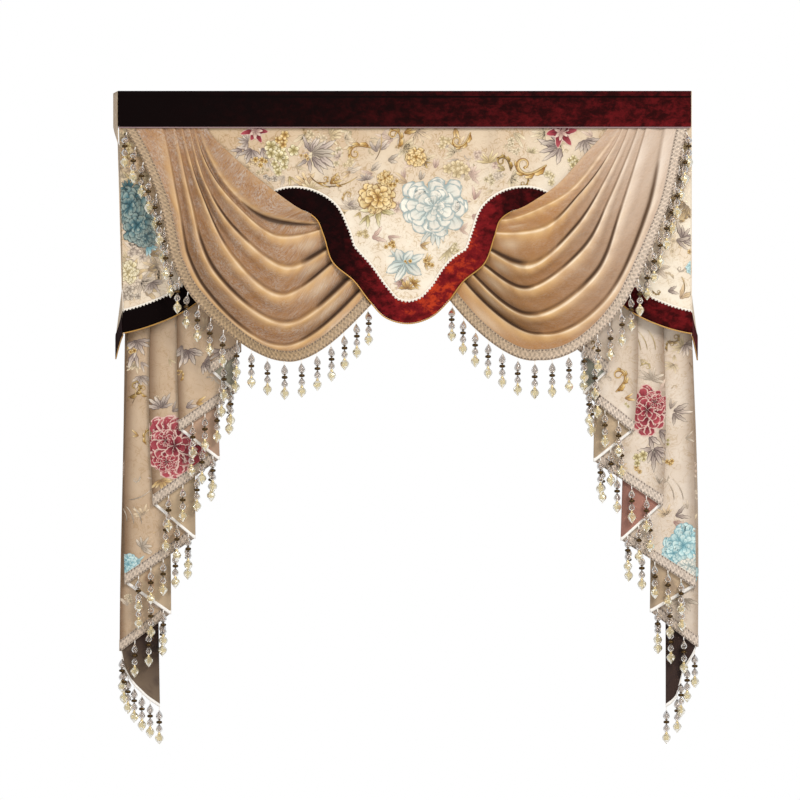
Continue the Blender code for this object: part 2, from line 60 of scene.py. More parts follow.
# Folds of the swags
SWAG_HEAD_Y = -0.0062
SWAG_HEAD_Z = -0.060
SWAG_HEAD_SLOPE = 0.6
SWAG_END_Y = 0.0048
SWAG_TUCK_Y = 0.0026
SWAG_TUCK = 0.028
VALLEY_AT = 0.74
FOLD_DEEPER = 1.35
SWAG_STATIONS = np.array([-0.08, 0.0, 0.25, 0.5, 0.75, 1.0, 1.12])
FOLD_SHARE = np.array([0.20, 0.25, 0.80, 1.00, 1.00, 0.50, 0.30])
SWAG_COLUMNS = 130
FOLD_LEVELS = np.array([
    0.0, 0.03, 0.06, 0.10, 0.16, 0.24, 0.33, 0.43, 0.53,
    0.63, 0.71, 0.77, 0.81, 0.85, 0.89, 0.925, 0.955, 0.98,
])
SWAG_BRAID = 0.029
TAIL_BRAID = 0.030

# Layers of the tails
TAIL_TOP = -0.048
TAIL_FRONT_Y = 0.0019
LAYER_PITCH_TOP = 0.0017
LAYER_PITCH_HEM = 0.0070
LAYER_SPLAY_START = 0.10
LAYER_SPLAY_LENGTH = 0.50
TURN_SHARE = 0.02
TAIL_ROWS = 90

# Bead strands
STRAND_LENGTH = 0.097
SWAG_STRANDS = 24
FIRST_STRAND_DROP = 0.014
LAST_STRAND_INSET = 0.012
TAIL_STRAND_PITCH = 0.040
LAST_RUN_STRANDS = {"left": 7, "right": 5}
LAST_HEM = {
    # share of the last run's way in and share of its fall, from the outer corner to the tip
    "left": ((0.0, 0.10, 0.24, 0.38, 0.70, 1.0), (0.0, 0.36, 0.53, 0.65, 0.86, 1.0)),
    "right": ((0.0, 0.13, 0.45, 0.65, 0.80, 1.0), (0.0, 0.16, 0.42, 0.84, 0.93, 1.0)),
}

PANEL_HEM = np.array([
    # x, z
    (-0.735, -0.632),
    (-0.665, -0.613),
    (-0.562, -0.565),
    (-0.452, -0.448),
    (-0.357, -0.338),
    (-0.297, -0.309),
    (-0.260, -0.314),
    (-0.230, -0.334),
    (-0.210, -0.378),
    (-0.187, -0.446),
    (-0.130, -0.497),
    (-0.090, -0.549),
    (-0.048, -0.592),
    (0.010, -0.607),
    (0.069, -0.590),
    (0.111, -0.552),
    (0.153, -0.497),
    (0.208, -0.450),
    (0.234, -0.380),
    (0.250, -0.336),
    (0.278, -0.315),
    (0.321, -0.308),
    (0.381, -0.335),
    (0.486, -0.448),
    (0.590, -0.573),
    (0.670, -0.612),
    (0.750, -0.633),
])
SIDE_SLANT = 0.015
SLANT_START = -0.600

RETURNS = {
    # side, front edge x at top, at hem, front hem z, rear hem z, flare at top, over the middle, at hem
    "left": (-1.0, -0.7500, -0.7350, -0.640, -0.700, 0.016, 0.000, 0.024),
    "right": (1.0, 0.7500, 0.7500, -0.641, -0.703, 0.003, 0.000, 0.020),
}
RETURN_FLARE_AT = (0.0, 0.10, 0.72, 1.0)

# Fold lines of a swag: x and z under the heading, at the upper flank, the side, the lowest place and
# the shield's edge; how far each bulges forwards in the middle three; and how deep its valley is
SWAG_FIELDS = (
    "top_x", "flank_x", "flank_z", "side_x", "side_z", "low_x", "low_z", "end_x", "end_z",
    "flank_out", "side_out", "low_out", "fold",
)
SWAG_LEFT = (
    (-0.520, -0.452, -0.168, -0.381, -0.230, -0.305, -0.288, -0.237, -0.333, 0.003, 0.006, 0.0075, 0.004),
    (-0.538, -0.501, -0.188, -0.446, -0.267, -0.365, -0.325, -0.237, -0.346, 0.010, 0.016, 0.016, 0.010),
    (-0.551, -0.514, -0.202, -0.446, -0.295, -0.336, -0.382, -0.219, -0.364, 0.014, 0.022, 0.026, 0.013),
    (-0.564, -0.520, -0.246, -0.441, -0.369, -0.313, -0.466, -0.203, -0.418, 0.017, 0.028, 0.034, 0.015),
    (-0.583, -0.536, -0.259, -0.452, -0.435, -0.323, -0.539, -0.187, -0.452, 0.020, 0.034, 0.040, 0.016),
    (-0.603, -0.567, -0.283, -0.493, -0.484, -0.313, -0.613, -0.142, -0.497, 0.022, 0.038, 0.046, 0.016),
    (-0.637, -0.606, -0.298, -0.520, -0.526, -0.321, -0.671, -0.112, -0.524, 0.024, 0.040, 0.048, 0.004),
    (-0.735, -0.660, -0.285, -0.551, -0.545, -0.312, -0.708, -0.088, -0.560, 0.019, 0.034, 0.041, 0.000),
)
SWAG_RIGHT = (
    (0.533, 0.470, -0.168, 0.402, -0.243, 0.336, -0.289, 0.271, -0.327, 0.003, 0.006, 0.0075, 0.003),
    (0.562, 0.512, -0.170, 0.441, -0.257, 0.355, -0.308, 0.262, -0.338, 0.010, 0.014, 0.014, 0.006),
    (0.572, 0.520, -0.192, 0.459, -0.271, 0.370, -0.359, 0.242, -0.372, 0.013, 0.020, 0.024, 0.012),
    (0.589, 0.525, -0.238, 0.444, -0.367, 0.329, -0.463, 0.221, -0.419, 0.017, 0.028, 0.034, 0.016),
    (0.614, 0.538, -0.285, 0.467, -0.419, 0.323, -0.521, 0.203, -0.456, 0.020, 0.034, 0.040, 0.017),
    (0.635, 0.569, -0.312, 0.499, -0.487, 0.334, -0.592, 0.174, -0.479, 0.022, 0.038, 0.046, 0.017),
    (0.687, 0.645, -0.306, 0.530, -0.550, 0.357, -0.641, 0.156, -0.502, 0.024, 0.040, 0.048, 0.004),
    (0.742, 0.692, -0.293, 0.554, -0.586, 0.350, -0.705, 0.119, -0.549, 0.019, 0.034, 0.041, 0.000),
)

TAIL_LEFT = np.array([
    # top_x, hem_x, hem_z
    (-0.436, -0.428, -0.683),
    (-0.501, -0.505, -0.738),
    (-0.449, -0.441, -0.791),
    (-0.585, -0.590, -0.890),
    (-0.491, -0.484, -0.966),
    (-0.656, -0.661, -1.086),
    (-0.554, -0.548, -1.173),
    (-0.7215, -0.734, -1.293),
    (-0.619, -0.615, -1.372),
    (-0.7255, -0.747, -1.469),
    (-0.648, -0.644, -1.618),
])
TAIL_RIGHT = np.array([
    # top_x, hem_x, hem_z
    (0.462, 0.453, -0.678),
    (0.528, 0.533, -0.738),
    (0.475, 0.467, -0.793),
    (0.593, 0.600, -0.893),
    (0.504, 0.497, -0.971),
    (0.666, 0.675, -1.086),
    (0.575, 0.569, -1.178),
    (0.7335, 0.757, -1.301),
    (0.648, 0.644, -1.367),
    (0.7385, 0.766, -1.458),
    (0.690, 0.686, -1.618),
])


# Helpers
def tint(code):
    """Linear colour of a #rrggbb code."""
    values = np.array([int(code[k:k + 2], 16) for k in (1, 3, 5)]) / 255
    return np.where(values < 0.04045, values / 12.92, ((values + 0.055) / 1.055) ** 2.4)


def curve_through(knots, stations, at):
    """Smooth curve through rows of knots: cubic pieces whose slopes are three-point slopes."""
    slopes = np.gradient(knots, stations, axis=0, edge_order=2)
    piece = np.clip(np.searchsorted(stations, at, side="right") - 1, 0, len(stations) - 2)
    width = (stations[piece + 1] - stations[piece])[:, None]
    s = (at[:, None] - stations[piece][:, None]) / width
    start, end = knots[piece], knots[piece + 1]
    leave, arrive = slopes[piece] * width, slopes[piece + 1] * width
    return (
        (2 * s**3 - 3 * s**2 + 1) * start
        + (s**3 - 2 * s**2 + s) * leave
        + (3 * s**2 - 2 * s**3) * end
        + (s**3 - s**2) * arrive
    )


def lengths_along(points):
    """Distance of each point from the first, measured along the points."""
    steps = np.linalg.norm(np.diff(points, axis=0), axis=1)
    return np.concatenate(([0.0], np.cumsum(steps)))


def points_at(line, distances):
    """Points of a polyline at given distances along it."""
    along = lengths_along(line)
    return np.column_stack([np.interp(distances, along, line[:, axis]) for axis in range(line.shape[1])])


def ripple(u, v, waves, seed):
    """Smooth uneven height between about -1 and 1: a mean of sines across and down the cloth."""
    chance = np.random.default_rng(seed)
    total = np.zeros(np.broadcast(u, v).shape)
    for across, down in waves:
        turn = chance.uniform(0.0, 2 * np.pi, 2)
        total = total + np.sin(2 * np.pi * (across * u + down * v) + turn[0] + 0.8 * np.sin(5 * u + turn[1]))
    return total / len(waves)


def grid_faces(rows, columns, ring=False):
    """Quads of a grid numbered row by row; a ring also joins its last column to its first."""
    row, column = np.meshgrid(np.arange(rows - 1), np.arange(columns - 1 + ring), indexing="ij")
    right = (column + 1) % columns
    corners = (row * columns + column, row * columns + right)
    return np.stack((*corners, corners[1] + columns, corners[0] + columns), axis=-1).reshape(-1, 4)


def add_surface(name, points, faces, materials, uv=None, fields=None, kinds=None, smooth=True):
    """Mesh piece from whole arrays: points, quads, uv per point, named fields per point."""
    mesh = bpy.data.meshes.new(name)
    mesh.from_pydata(points.reshape(-1, 3).tolist(), [], faces.tolist())
    for material in materials:
        mesh.materials.append(material)
    if uv is not None:
        layer = mesh.uv_layers.new(name="cloth")
        layer.data.foreach_set("uv", uv.reshape(-1, 2)[faces.ravel()].ravel())
    for field, values in (fields or {}).items():
        if values.shape[-1] == 3 and values.ndim == points.ndim:
            colour = np.concatenate((values, np.ones(values.shape[:-1] + (1,))), axis=-1)
            mesh.color_attributes.new(field, "FLOAT_COLOR", "POINT").data.foreach_set("color", colour.ravel())
        else:
            mesh.attributes.new(field, "FLOAT", "POINT").data.foreach_set("value", values.ravel())
    if kinds is not None:
        mesh.polygons.foreach_set("material_index", kinds)
    mesh.polygons.foreach_set("use_smooth", np.full(len(mesh.polygons), smooth))
    mesh.update()
    piece = bpy.data.objects.new(name, mesh)
    bpy.context.scene.collection.objects.link(piece)
    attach(piece, "root")
    return piece


def add_cloth(name, grid, face, reverse, thick=CLOTH_THICK, fields=None, uv=None):
    """Sheet whose face is the grid and whose thickness lies behind it, the reverse in its own finish."""
    rows, columns, _ = grid.shape
    if uv is None:
        across = np.linalg.norm(np.diff(grid, axis=1), axis=2)
        down = np.linalg.norm(np.diff(grid, axis=0), axis=2)
        u = np.concatenate((np.zeros((rows, 1)), np.cumsum(across, axis=1)), axis=1)
        v = np.concatenate((np.zeros((1, columns)), np.cumsum(down, axis=0)), axis=0)
        uv = np.stack((u, v), axis=-1)
    piece = add_surface(name, grid, grid_faces(rows, columns), (face, reverse), uv, fields)
    solidify = piece.modifiers.new("Thickness", "SOLIDIFY")
    solidify.thickness = thick
    solidify.offset = -1.0
    solidify.material_offset = 1
    return piece


def declare(grid):
    """Works out a sheet's own flat size, its longest lines across and down and its area, and keeps none of
    it.
    """
    across = np.linalg.norm(np.diff(grid, axis=1), axis=2).sum(axis=1).max()
    down = np.linalg.norm(np.diff(grid, axis=0), axis=2).sum(axis=0).max()
    edge_a = grid[1:, 1:] - grid[:-1, :-1]
    edge_b = grid[1:, :-1] - grid[:-1, 1:]
    area = np.linalg.norm(np.cross(edge_a, edge_b), axis=2).sum() / 2
    area = min(area, across * down)


def add_tube(name, route, radius, finish, sides=8, twist=0.0, pitch=0.006):
    """Tube along a route: radius * (1 + twist * cos(2 * angle - 2 * pi * length / pitch)) round it."""
    tangent = np.gradient(route, axis=0)
    tangent /= np.linalg.norm(tangent, axis=1)[:, None]
    outward = np.cross(tangent, (0.0, 1.0, 0.0))
    outward /= np.linalg.norm(outward, axis=1)[:, None]
    other = np.cross(tangent, outward)
    angle = np.linspace(0.0, 2 * np.pi, sides, endpoint=False)
    along = lengths_along(route)
    size = radius * (1 + twist * np.cos(2 * angle[None, :] - 2 * np.pi * along[:, None] / pitch))
    size[0] = size[-1] = radius * 0.05
    points = (
        route[:, None, :]
        + (size * np.cos(angle))[..., None] * outward[:, None, :]
        + (size * np.sin(angle))[..., None] * other[:, None, :]
    )
    uv = np.stack(np.broadcast_arrays(along[:, None], angle[None, :] * radius), axis=-1)
    return add_surface(name, points, grid_faces(len(route), sides, ring=True)[:, ::-1], (finish,), uv)


# Woven flowers
PETAL_ALONG = 10
PETAL_ACROSS = np.array([-1.0, -0.45, 0.45, 1.0])
PALETTES = {
    # base, middle, tip, outline
    "ivory_blue": ("#a6b4b0", "#ccd0c6", "#e8dece", "#8a9c9c"),
    "teal": ("#1f4650", "#467078", "#98a49a", "#24393e"),
    "sky": ("#5f9cac", "#9cc6ca", "#d2e2dc", "#6f9ca6"),
    "gold": ("#8a5a20", "#c8a05a", "#ebd4a2", "#744a1e"),
    "lemon": ("#8c783c", "#cbb983", "#ece2c2", "#7c6838"),
    "red": ("#480a14", "#7c1626", "#a8464e", "#e2c4b6"),
    "rose": ("#a98078", "#c9a898", "#dfcab8", "#957068"),
    "lilac": ("#7c6a64", "#b4a296", "#d6c7b4", "#4e3c3a"),
    "ash": ("#978878", "#bcac9a", "#d8cab6", "#6c5c4a"),
    "bronze": ("#5a3c18", "#a07c3a", "#d8bc7c", "#4c3218"),
    "straw": ("#b09660", "#cdb684", "#e4d3ac", "#8c6c38"),
}
PALE_GROUND = "#e0ccb4"
BLOOM_RINGS = (
    # petals; their reach, half width and root in shares of the flower's size
    (12, 1.00, 0.25, 0.34),
    (11, 0.86, 0.24, 0.18),
    (9, 0.70, 0.22, 0.10),
    (7, 0.52, 0.18, 0.0),
    (5, 0.32, 0.12, 0.0),
)
SCROLL_LEAVES = np.array((
    # place along the scroll; length and half width in shares of its length
    (0.05, 0.24, 0.040),
    (0.24, 0.20, 0.036),
    (0.42, 0.16, 0.030),
    (0.58, 0.12, 0.024),
))
# Lifts of the petals over the cloth: at motif 0, from motif to motif, from petal to petal
FILL_LIFTS = (0.0, 0.0000016, 0.00000037)
MOTIF_LIFTS = (-0.00023, 0.0000045, 0.0000017)


def petals(centre, angle, length, width, palette, bend=0.0, tip=1.6, blunt=0.55, lobes=0.0, seed=0):
    """Woven petals or leaves, one for each angle, as a dict of arrays over (petal, along, across).

    The middle line leaves the centre and turns by bend over its length.  The half width is
    width * sin(pi * s ** tip) ** blunt * (1 + lobes * sin(6 * pi * s)), s from 0 to 1.
    """
    chance = np.random.default_rng(seed)
    angle = np.atleast_1d(np.asarray(angle, float))
    count = len(angle)
    length, width, bend = (np.broadcast_to(value, count)[:, None] for value in (length, width, bend))
    centre = np.broadcast_to(np.asarray(centre, float), (count, 2))
    s = np.linspace(0.0, 1.0, PETAL_ALONG)[None, :]
    heading = angle[:, None] + bend * s
    step = length / (PETAL_ALONG - 1)
    middle_x = centre[:, :1] + np.cumsum(np.cos(heading), axis=1) * step - np.cos(heading[:, :1]) * step
    middle_y = centre[:, 1:] + np.cumsum(np.sin(heading), axis=1) * step - np.sin(heading[:, :1]) * step
    wavy = 1 + lobes * np.sin(6 * np.pi * s)
    half = width * np.sin(np.pi * np.clip(s, 0.004, 0.996) ** tip) ** blunt * wavy
    offset = half[..., None] * PETAL_ACROSS
    x = middle_x[..., None] - np.sin(heading)[..., None] * offset
    y = middle_y[..., None] + np.cos(heading)[..., None] * offset
    base, middle, end, line = (tint(code) for code in PALETTES[palette])
    grow = (s[..., None] + 0.10 * chance.uniform(-1, 1, (count, 1, len(PETAL_ACROSS))))[..., None]
    low = base + (middle - base) * np.clip(2 * grow, 0, 1)
    colour = low + (end - low) * np.clip(2 * grow - 0.9, 0, 1)
    colour = colour * (1 + 0.14 * chance.uniform(-1, 1, (count, 1, 1, 1)))
    along = np.broadcast_to(s[..., None], x.shape)
    across = np.broadcast_to(PETAL_ACROSS, x.shape)
    line = np.broadcast_to(line, colour.shape)
    own = np.stack((along, across), axis=-1)
    return {"x": x, "z": y, "colour": np.clip(colour, 0, 1), "line": line, "own": own}


def bloom(centre, radius, palette, seed, squash=1.0):
    """Full flower of rings of curled petals, the outer rings below the inner ones."""
    chance = np.random.default_rng(seed)
    parts = []
    for count, reach, wide, start in BLOOM_RINGS:
        angle = 2 * np.pi * np.arange(count) / count + chance.uniform(-0.35, 0.35, count)
        root = centre + start * radius * np.column_stack((np.cos(angle), np.sin(angle)))
        length = radius * (reach - start) * chance.uniform(0.85, 1.12, count)
        width = radius * wide * chance.uniform(0.8, 1.15, count)
        part = petals(root, angle, length, width, palette, bend=chance.uniform(-0.9, 0.9, count),
                      tip=1.7, blunt=0.5, lobes=0.13, seed=seed + count)
        part["z"] = centre[1] + (part["z"] - centre[1]) * squash
        parts.append(part)
    return parts


def spray(centre, angle, reach, palette, seed, count=6, spread=2.6, wide=0.12, lobes=0.22):
    """Fan of pointed leaves from one place."""
    chance = np.random.default_rng(seed)
    angles = angle + np.linspace(-spread / 2, spread / 2, count) + chance.uniform(-0.12, 0.12, count)
    length = reach * chance.uniform(0.7, 1.1, count)
    width = reach * wide * chance.uniform(0.8, 1.2, count)
    return [petals(centre, angles, length, width, palette, bend=chance.uniform(-0.5, 0.5, count), tip=0.8,
                   blunt=0.9, lobes=lobes, seed=seed)]


def cluster(centre, radius, palette, seed, count):
    """Small five-petalled flowers scattered round a place."""
    chance = np.random.default_rng(seed)
    parts = []
    for k in range(count):
        turn = chance.uniform(0, 2 * np.pi)
        away = radius * 0.7 * np.sqrt(k / max(1, count - 1))
        place = centre + away * np.array((np.cos(turn + 2.4 * k), np.sin(turn + 2.4 * k)))
        size = radius * chance.uniform(0.28, 0.45)
        angle = turn + 2 * np.pi * np.arange(5) / 5
        parts.append(petals(place, angle, size, size * 0.42, palette, tip=1.3, blunt=0.6, seed=seed + k))
    return parts


def scroll(start, angle, length, curl, width, palette):
    """Scroll: a tapering ribbon whose turning grows towards its curled end, with leaves on its outside."""
    s = np.linspace(0.0, 1.0, 4 * (PETAL_ALONG - 1) + 1)
    heading = angle + curl * s**2.4
    step = length / (len(s) - 1)
    middle = start + np.cumsum(np.column_stack((np.cos(heading), np.sin(heading))), axis=0) * step
    half = width * (0.35 + 0.65 * np.sin(np.pi * s**0.7)) * (1 + 0.2 * np.sin(14 * s))
    half[-1] = 0.0002
    x = middle[:, :1] - np.sin(heading)[:, None] * half[:, None] * PETAL_ACROSS
    z = middle[:, 1:] + np.cos(heading)[:, None] * half[:, None] * PETAL_ACROSS
    base, mid, end, line = (tint(code) for code in PALETTES[palette])
    side = ((PETAL_ACROSS + 1) / 2)[None, :, None]
    colour = np.broadcast_to(end + (mid - end) * np.clip(1.6 * side, 0, 1), x.shape + (3,))
    colour = colour + (base - colour) * np.clip(2.4 * side - 1.3, 0, 1)
    own = np.stack(np.broadcast_arrays(s[:, None] * 0.8 + 0.1, PETAL_ACROSS), axis=-1)
    line = np.broadcast_to(line, colour.shape)
    parts = []
    for k in range(4):
        rows = slice(k * (PETAL_ALONG - 1), k * (PETAL_ALONG - 1) + PETAL_ALONG)
        shape = {"x": x[rows], "z": z[rows], "colour": colour[rows], "line": line[rows], "own": own[rows]}
        parts.append({key: value[None] for key, value in shape.items()})
    parts.append(petals(middle[-1], [0.0], width * 1.6, width * 0.8, palette))
    place, long, wide = SCROLL_LEAVES.T
    at = np.round(place * (len(s) - 1)).astype(int)
    outward = np.sign(curl)
    parts.append(petals(middle[at], heading[at] - 0.8 * outward, length * long, length * wide, palette,
                        bend=1.5 * outward, tip=0.8, blunt=0.8, lobes=0.25))
    return parts


def stem(start, angle, length, palette):
    """Thin bent stalk."""
    return [petals(start, [angle], length, 0.0013, palette, bend=0.8, tip=1.0, blunt=0.25)]


MOTIFS = {
    "bloom": lambda at, size, turn, palette, seed: bloom(at, size, palette, seed, turn),
    "spray": lambda at, size, turn, palette, seed: spray(at, turn, size, palette, seed),
    "lily": lambda at, size, turn, palette, seed: spray(at, turn, size, palette, seed, 6, 5.2, 0.25, 0.10),
    "leaf": lambda at, size, turn, palette, seed: spray(at, turn, size, palette, seed, 2, 0.7),
    "cluster": lambda at, size, turn, palette, seed: cluster(at, size, palette, seed, round(turn)),
    "scroll": lambda at, size, turn, palette, seed: scroll(at, turn, size, 7.0, size * 0.034, palette),
    "back_scroll": lambda at, size, turn, palette, seed: scroll(at, turn, size, -7.0, size * 0.034, palette),
    "stem": lambda at, size, turn, palette, seed: stem(at, turn, size, palette),
}


def tonal_fill(count, seed, low, high, palettes, size):
    """Seeded table of small faint sprays, leaves and scrolls between two (x, z) corners."""
    chance = np.random.default_rng(seed)
    kinds = ("spray", "leaf", "cluster", "scroll", "back_scroll", "leaf", "spray")
    rows = []
    for _ in range(count):
        kind = kinds[chance.integers(len(kinds))]
        x, z = chance.uniform(low, high)
        turn = 4 if kind == "cluster" else chance.uniform(-np.pi, np.pi)
        reach = chance.uniform(*size) * (0.6 if kind == "cluster" else 1.0)
        palette = palettes[chance.integers(len(palettes))]
        rows.append((kind, x, z, reach, turn, palette, chance.uniform(0.35, 0.65)))
    return tuple(rows)


def weave_motif(number, kind, x, z, size, turn, palette, pale, behind):
    """One motif's parts: each petal lies a little above the one before it, and each motif above the last.

    The motifs of the tonal fill lie behind all others; pale moves the colours towards the ground's.
    """
    parts = MOTIFS[kind](np.array((x, z)), size, turn, palette, 31 * number + 7)
    first, by_motif, by_petal = FILL_LIFTS if behind else MOTIF_LIFTS
    order = 0
    for part in parts:
        count = len(part["x"])
        lift = first + number * by_motif + (order + np.arange(count)) * by_petal
        part["lift"] = np.broadcast_to(lift[:, None, None], part["x"].shape)
        order += count
        for key in ("colour", "line"):
            part[key] = part[key] + (tint(PALE_GROUND) - part[key]) * pale
    return parts


def join_parts(parts):
    """All parts joined into arrays over (petal, along, across)."""
    return {key: np.concatenate([part[key] for part in parts]) for key in parts[0]}


def add_petals(name, woven, points):
    """Piece of woven flowers from joined parts and their points on the cloth."""
    count, rows, columns = woven["x"].shape
    faces = grid_faces(rows, columns)[None] + (np.arange(count) * rows * columns)[:, None, None]
    dyes = {"thread": woven["colour"], "line": woven["line"]}
    return add_surface(name, points, faces.reshape(-1, 4), (THREADS,), woven["own"], dyes)


PANEL_FILLS = (
    # count, seed, low corner, high corner, palettes, sizes
    (90, 4, (-0.45, -0.33), (0.16, -0.10), ("straw", "straw", "gold", "rose", "ash", "lemon"), (0.022, 0.05)),
    (26, 5, (0.16, -0.30), (0.50, -0.10), ("straw", "rose", "lemon"), (0.022, 0.05)),
    (34, 6, (-0.74, -0.55), (-0.64, -0.12), ("lilac", "bronze", "ash", "gold", "straw"), (0.03, 0.06)),
    (30, 7, (0.64, -0.55), (0.74, -0.12), ("lilac", "gold", "ash", "straw"), (0.03, 0.06)),
)
TAIL_FILL = (150, 8, (0.44, -1.40), (0.76, -0.60), ("ash", "straw", "ash", "gold", "rose"), (0.022, 0.045))
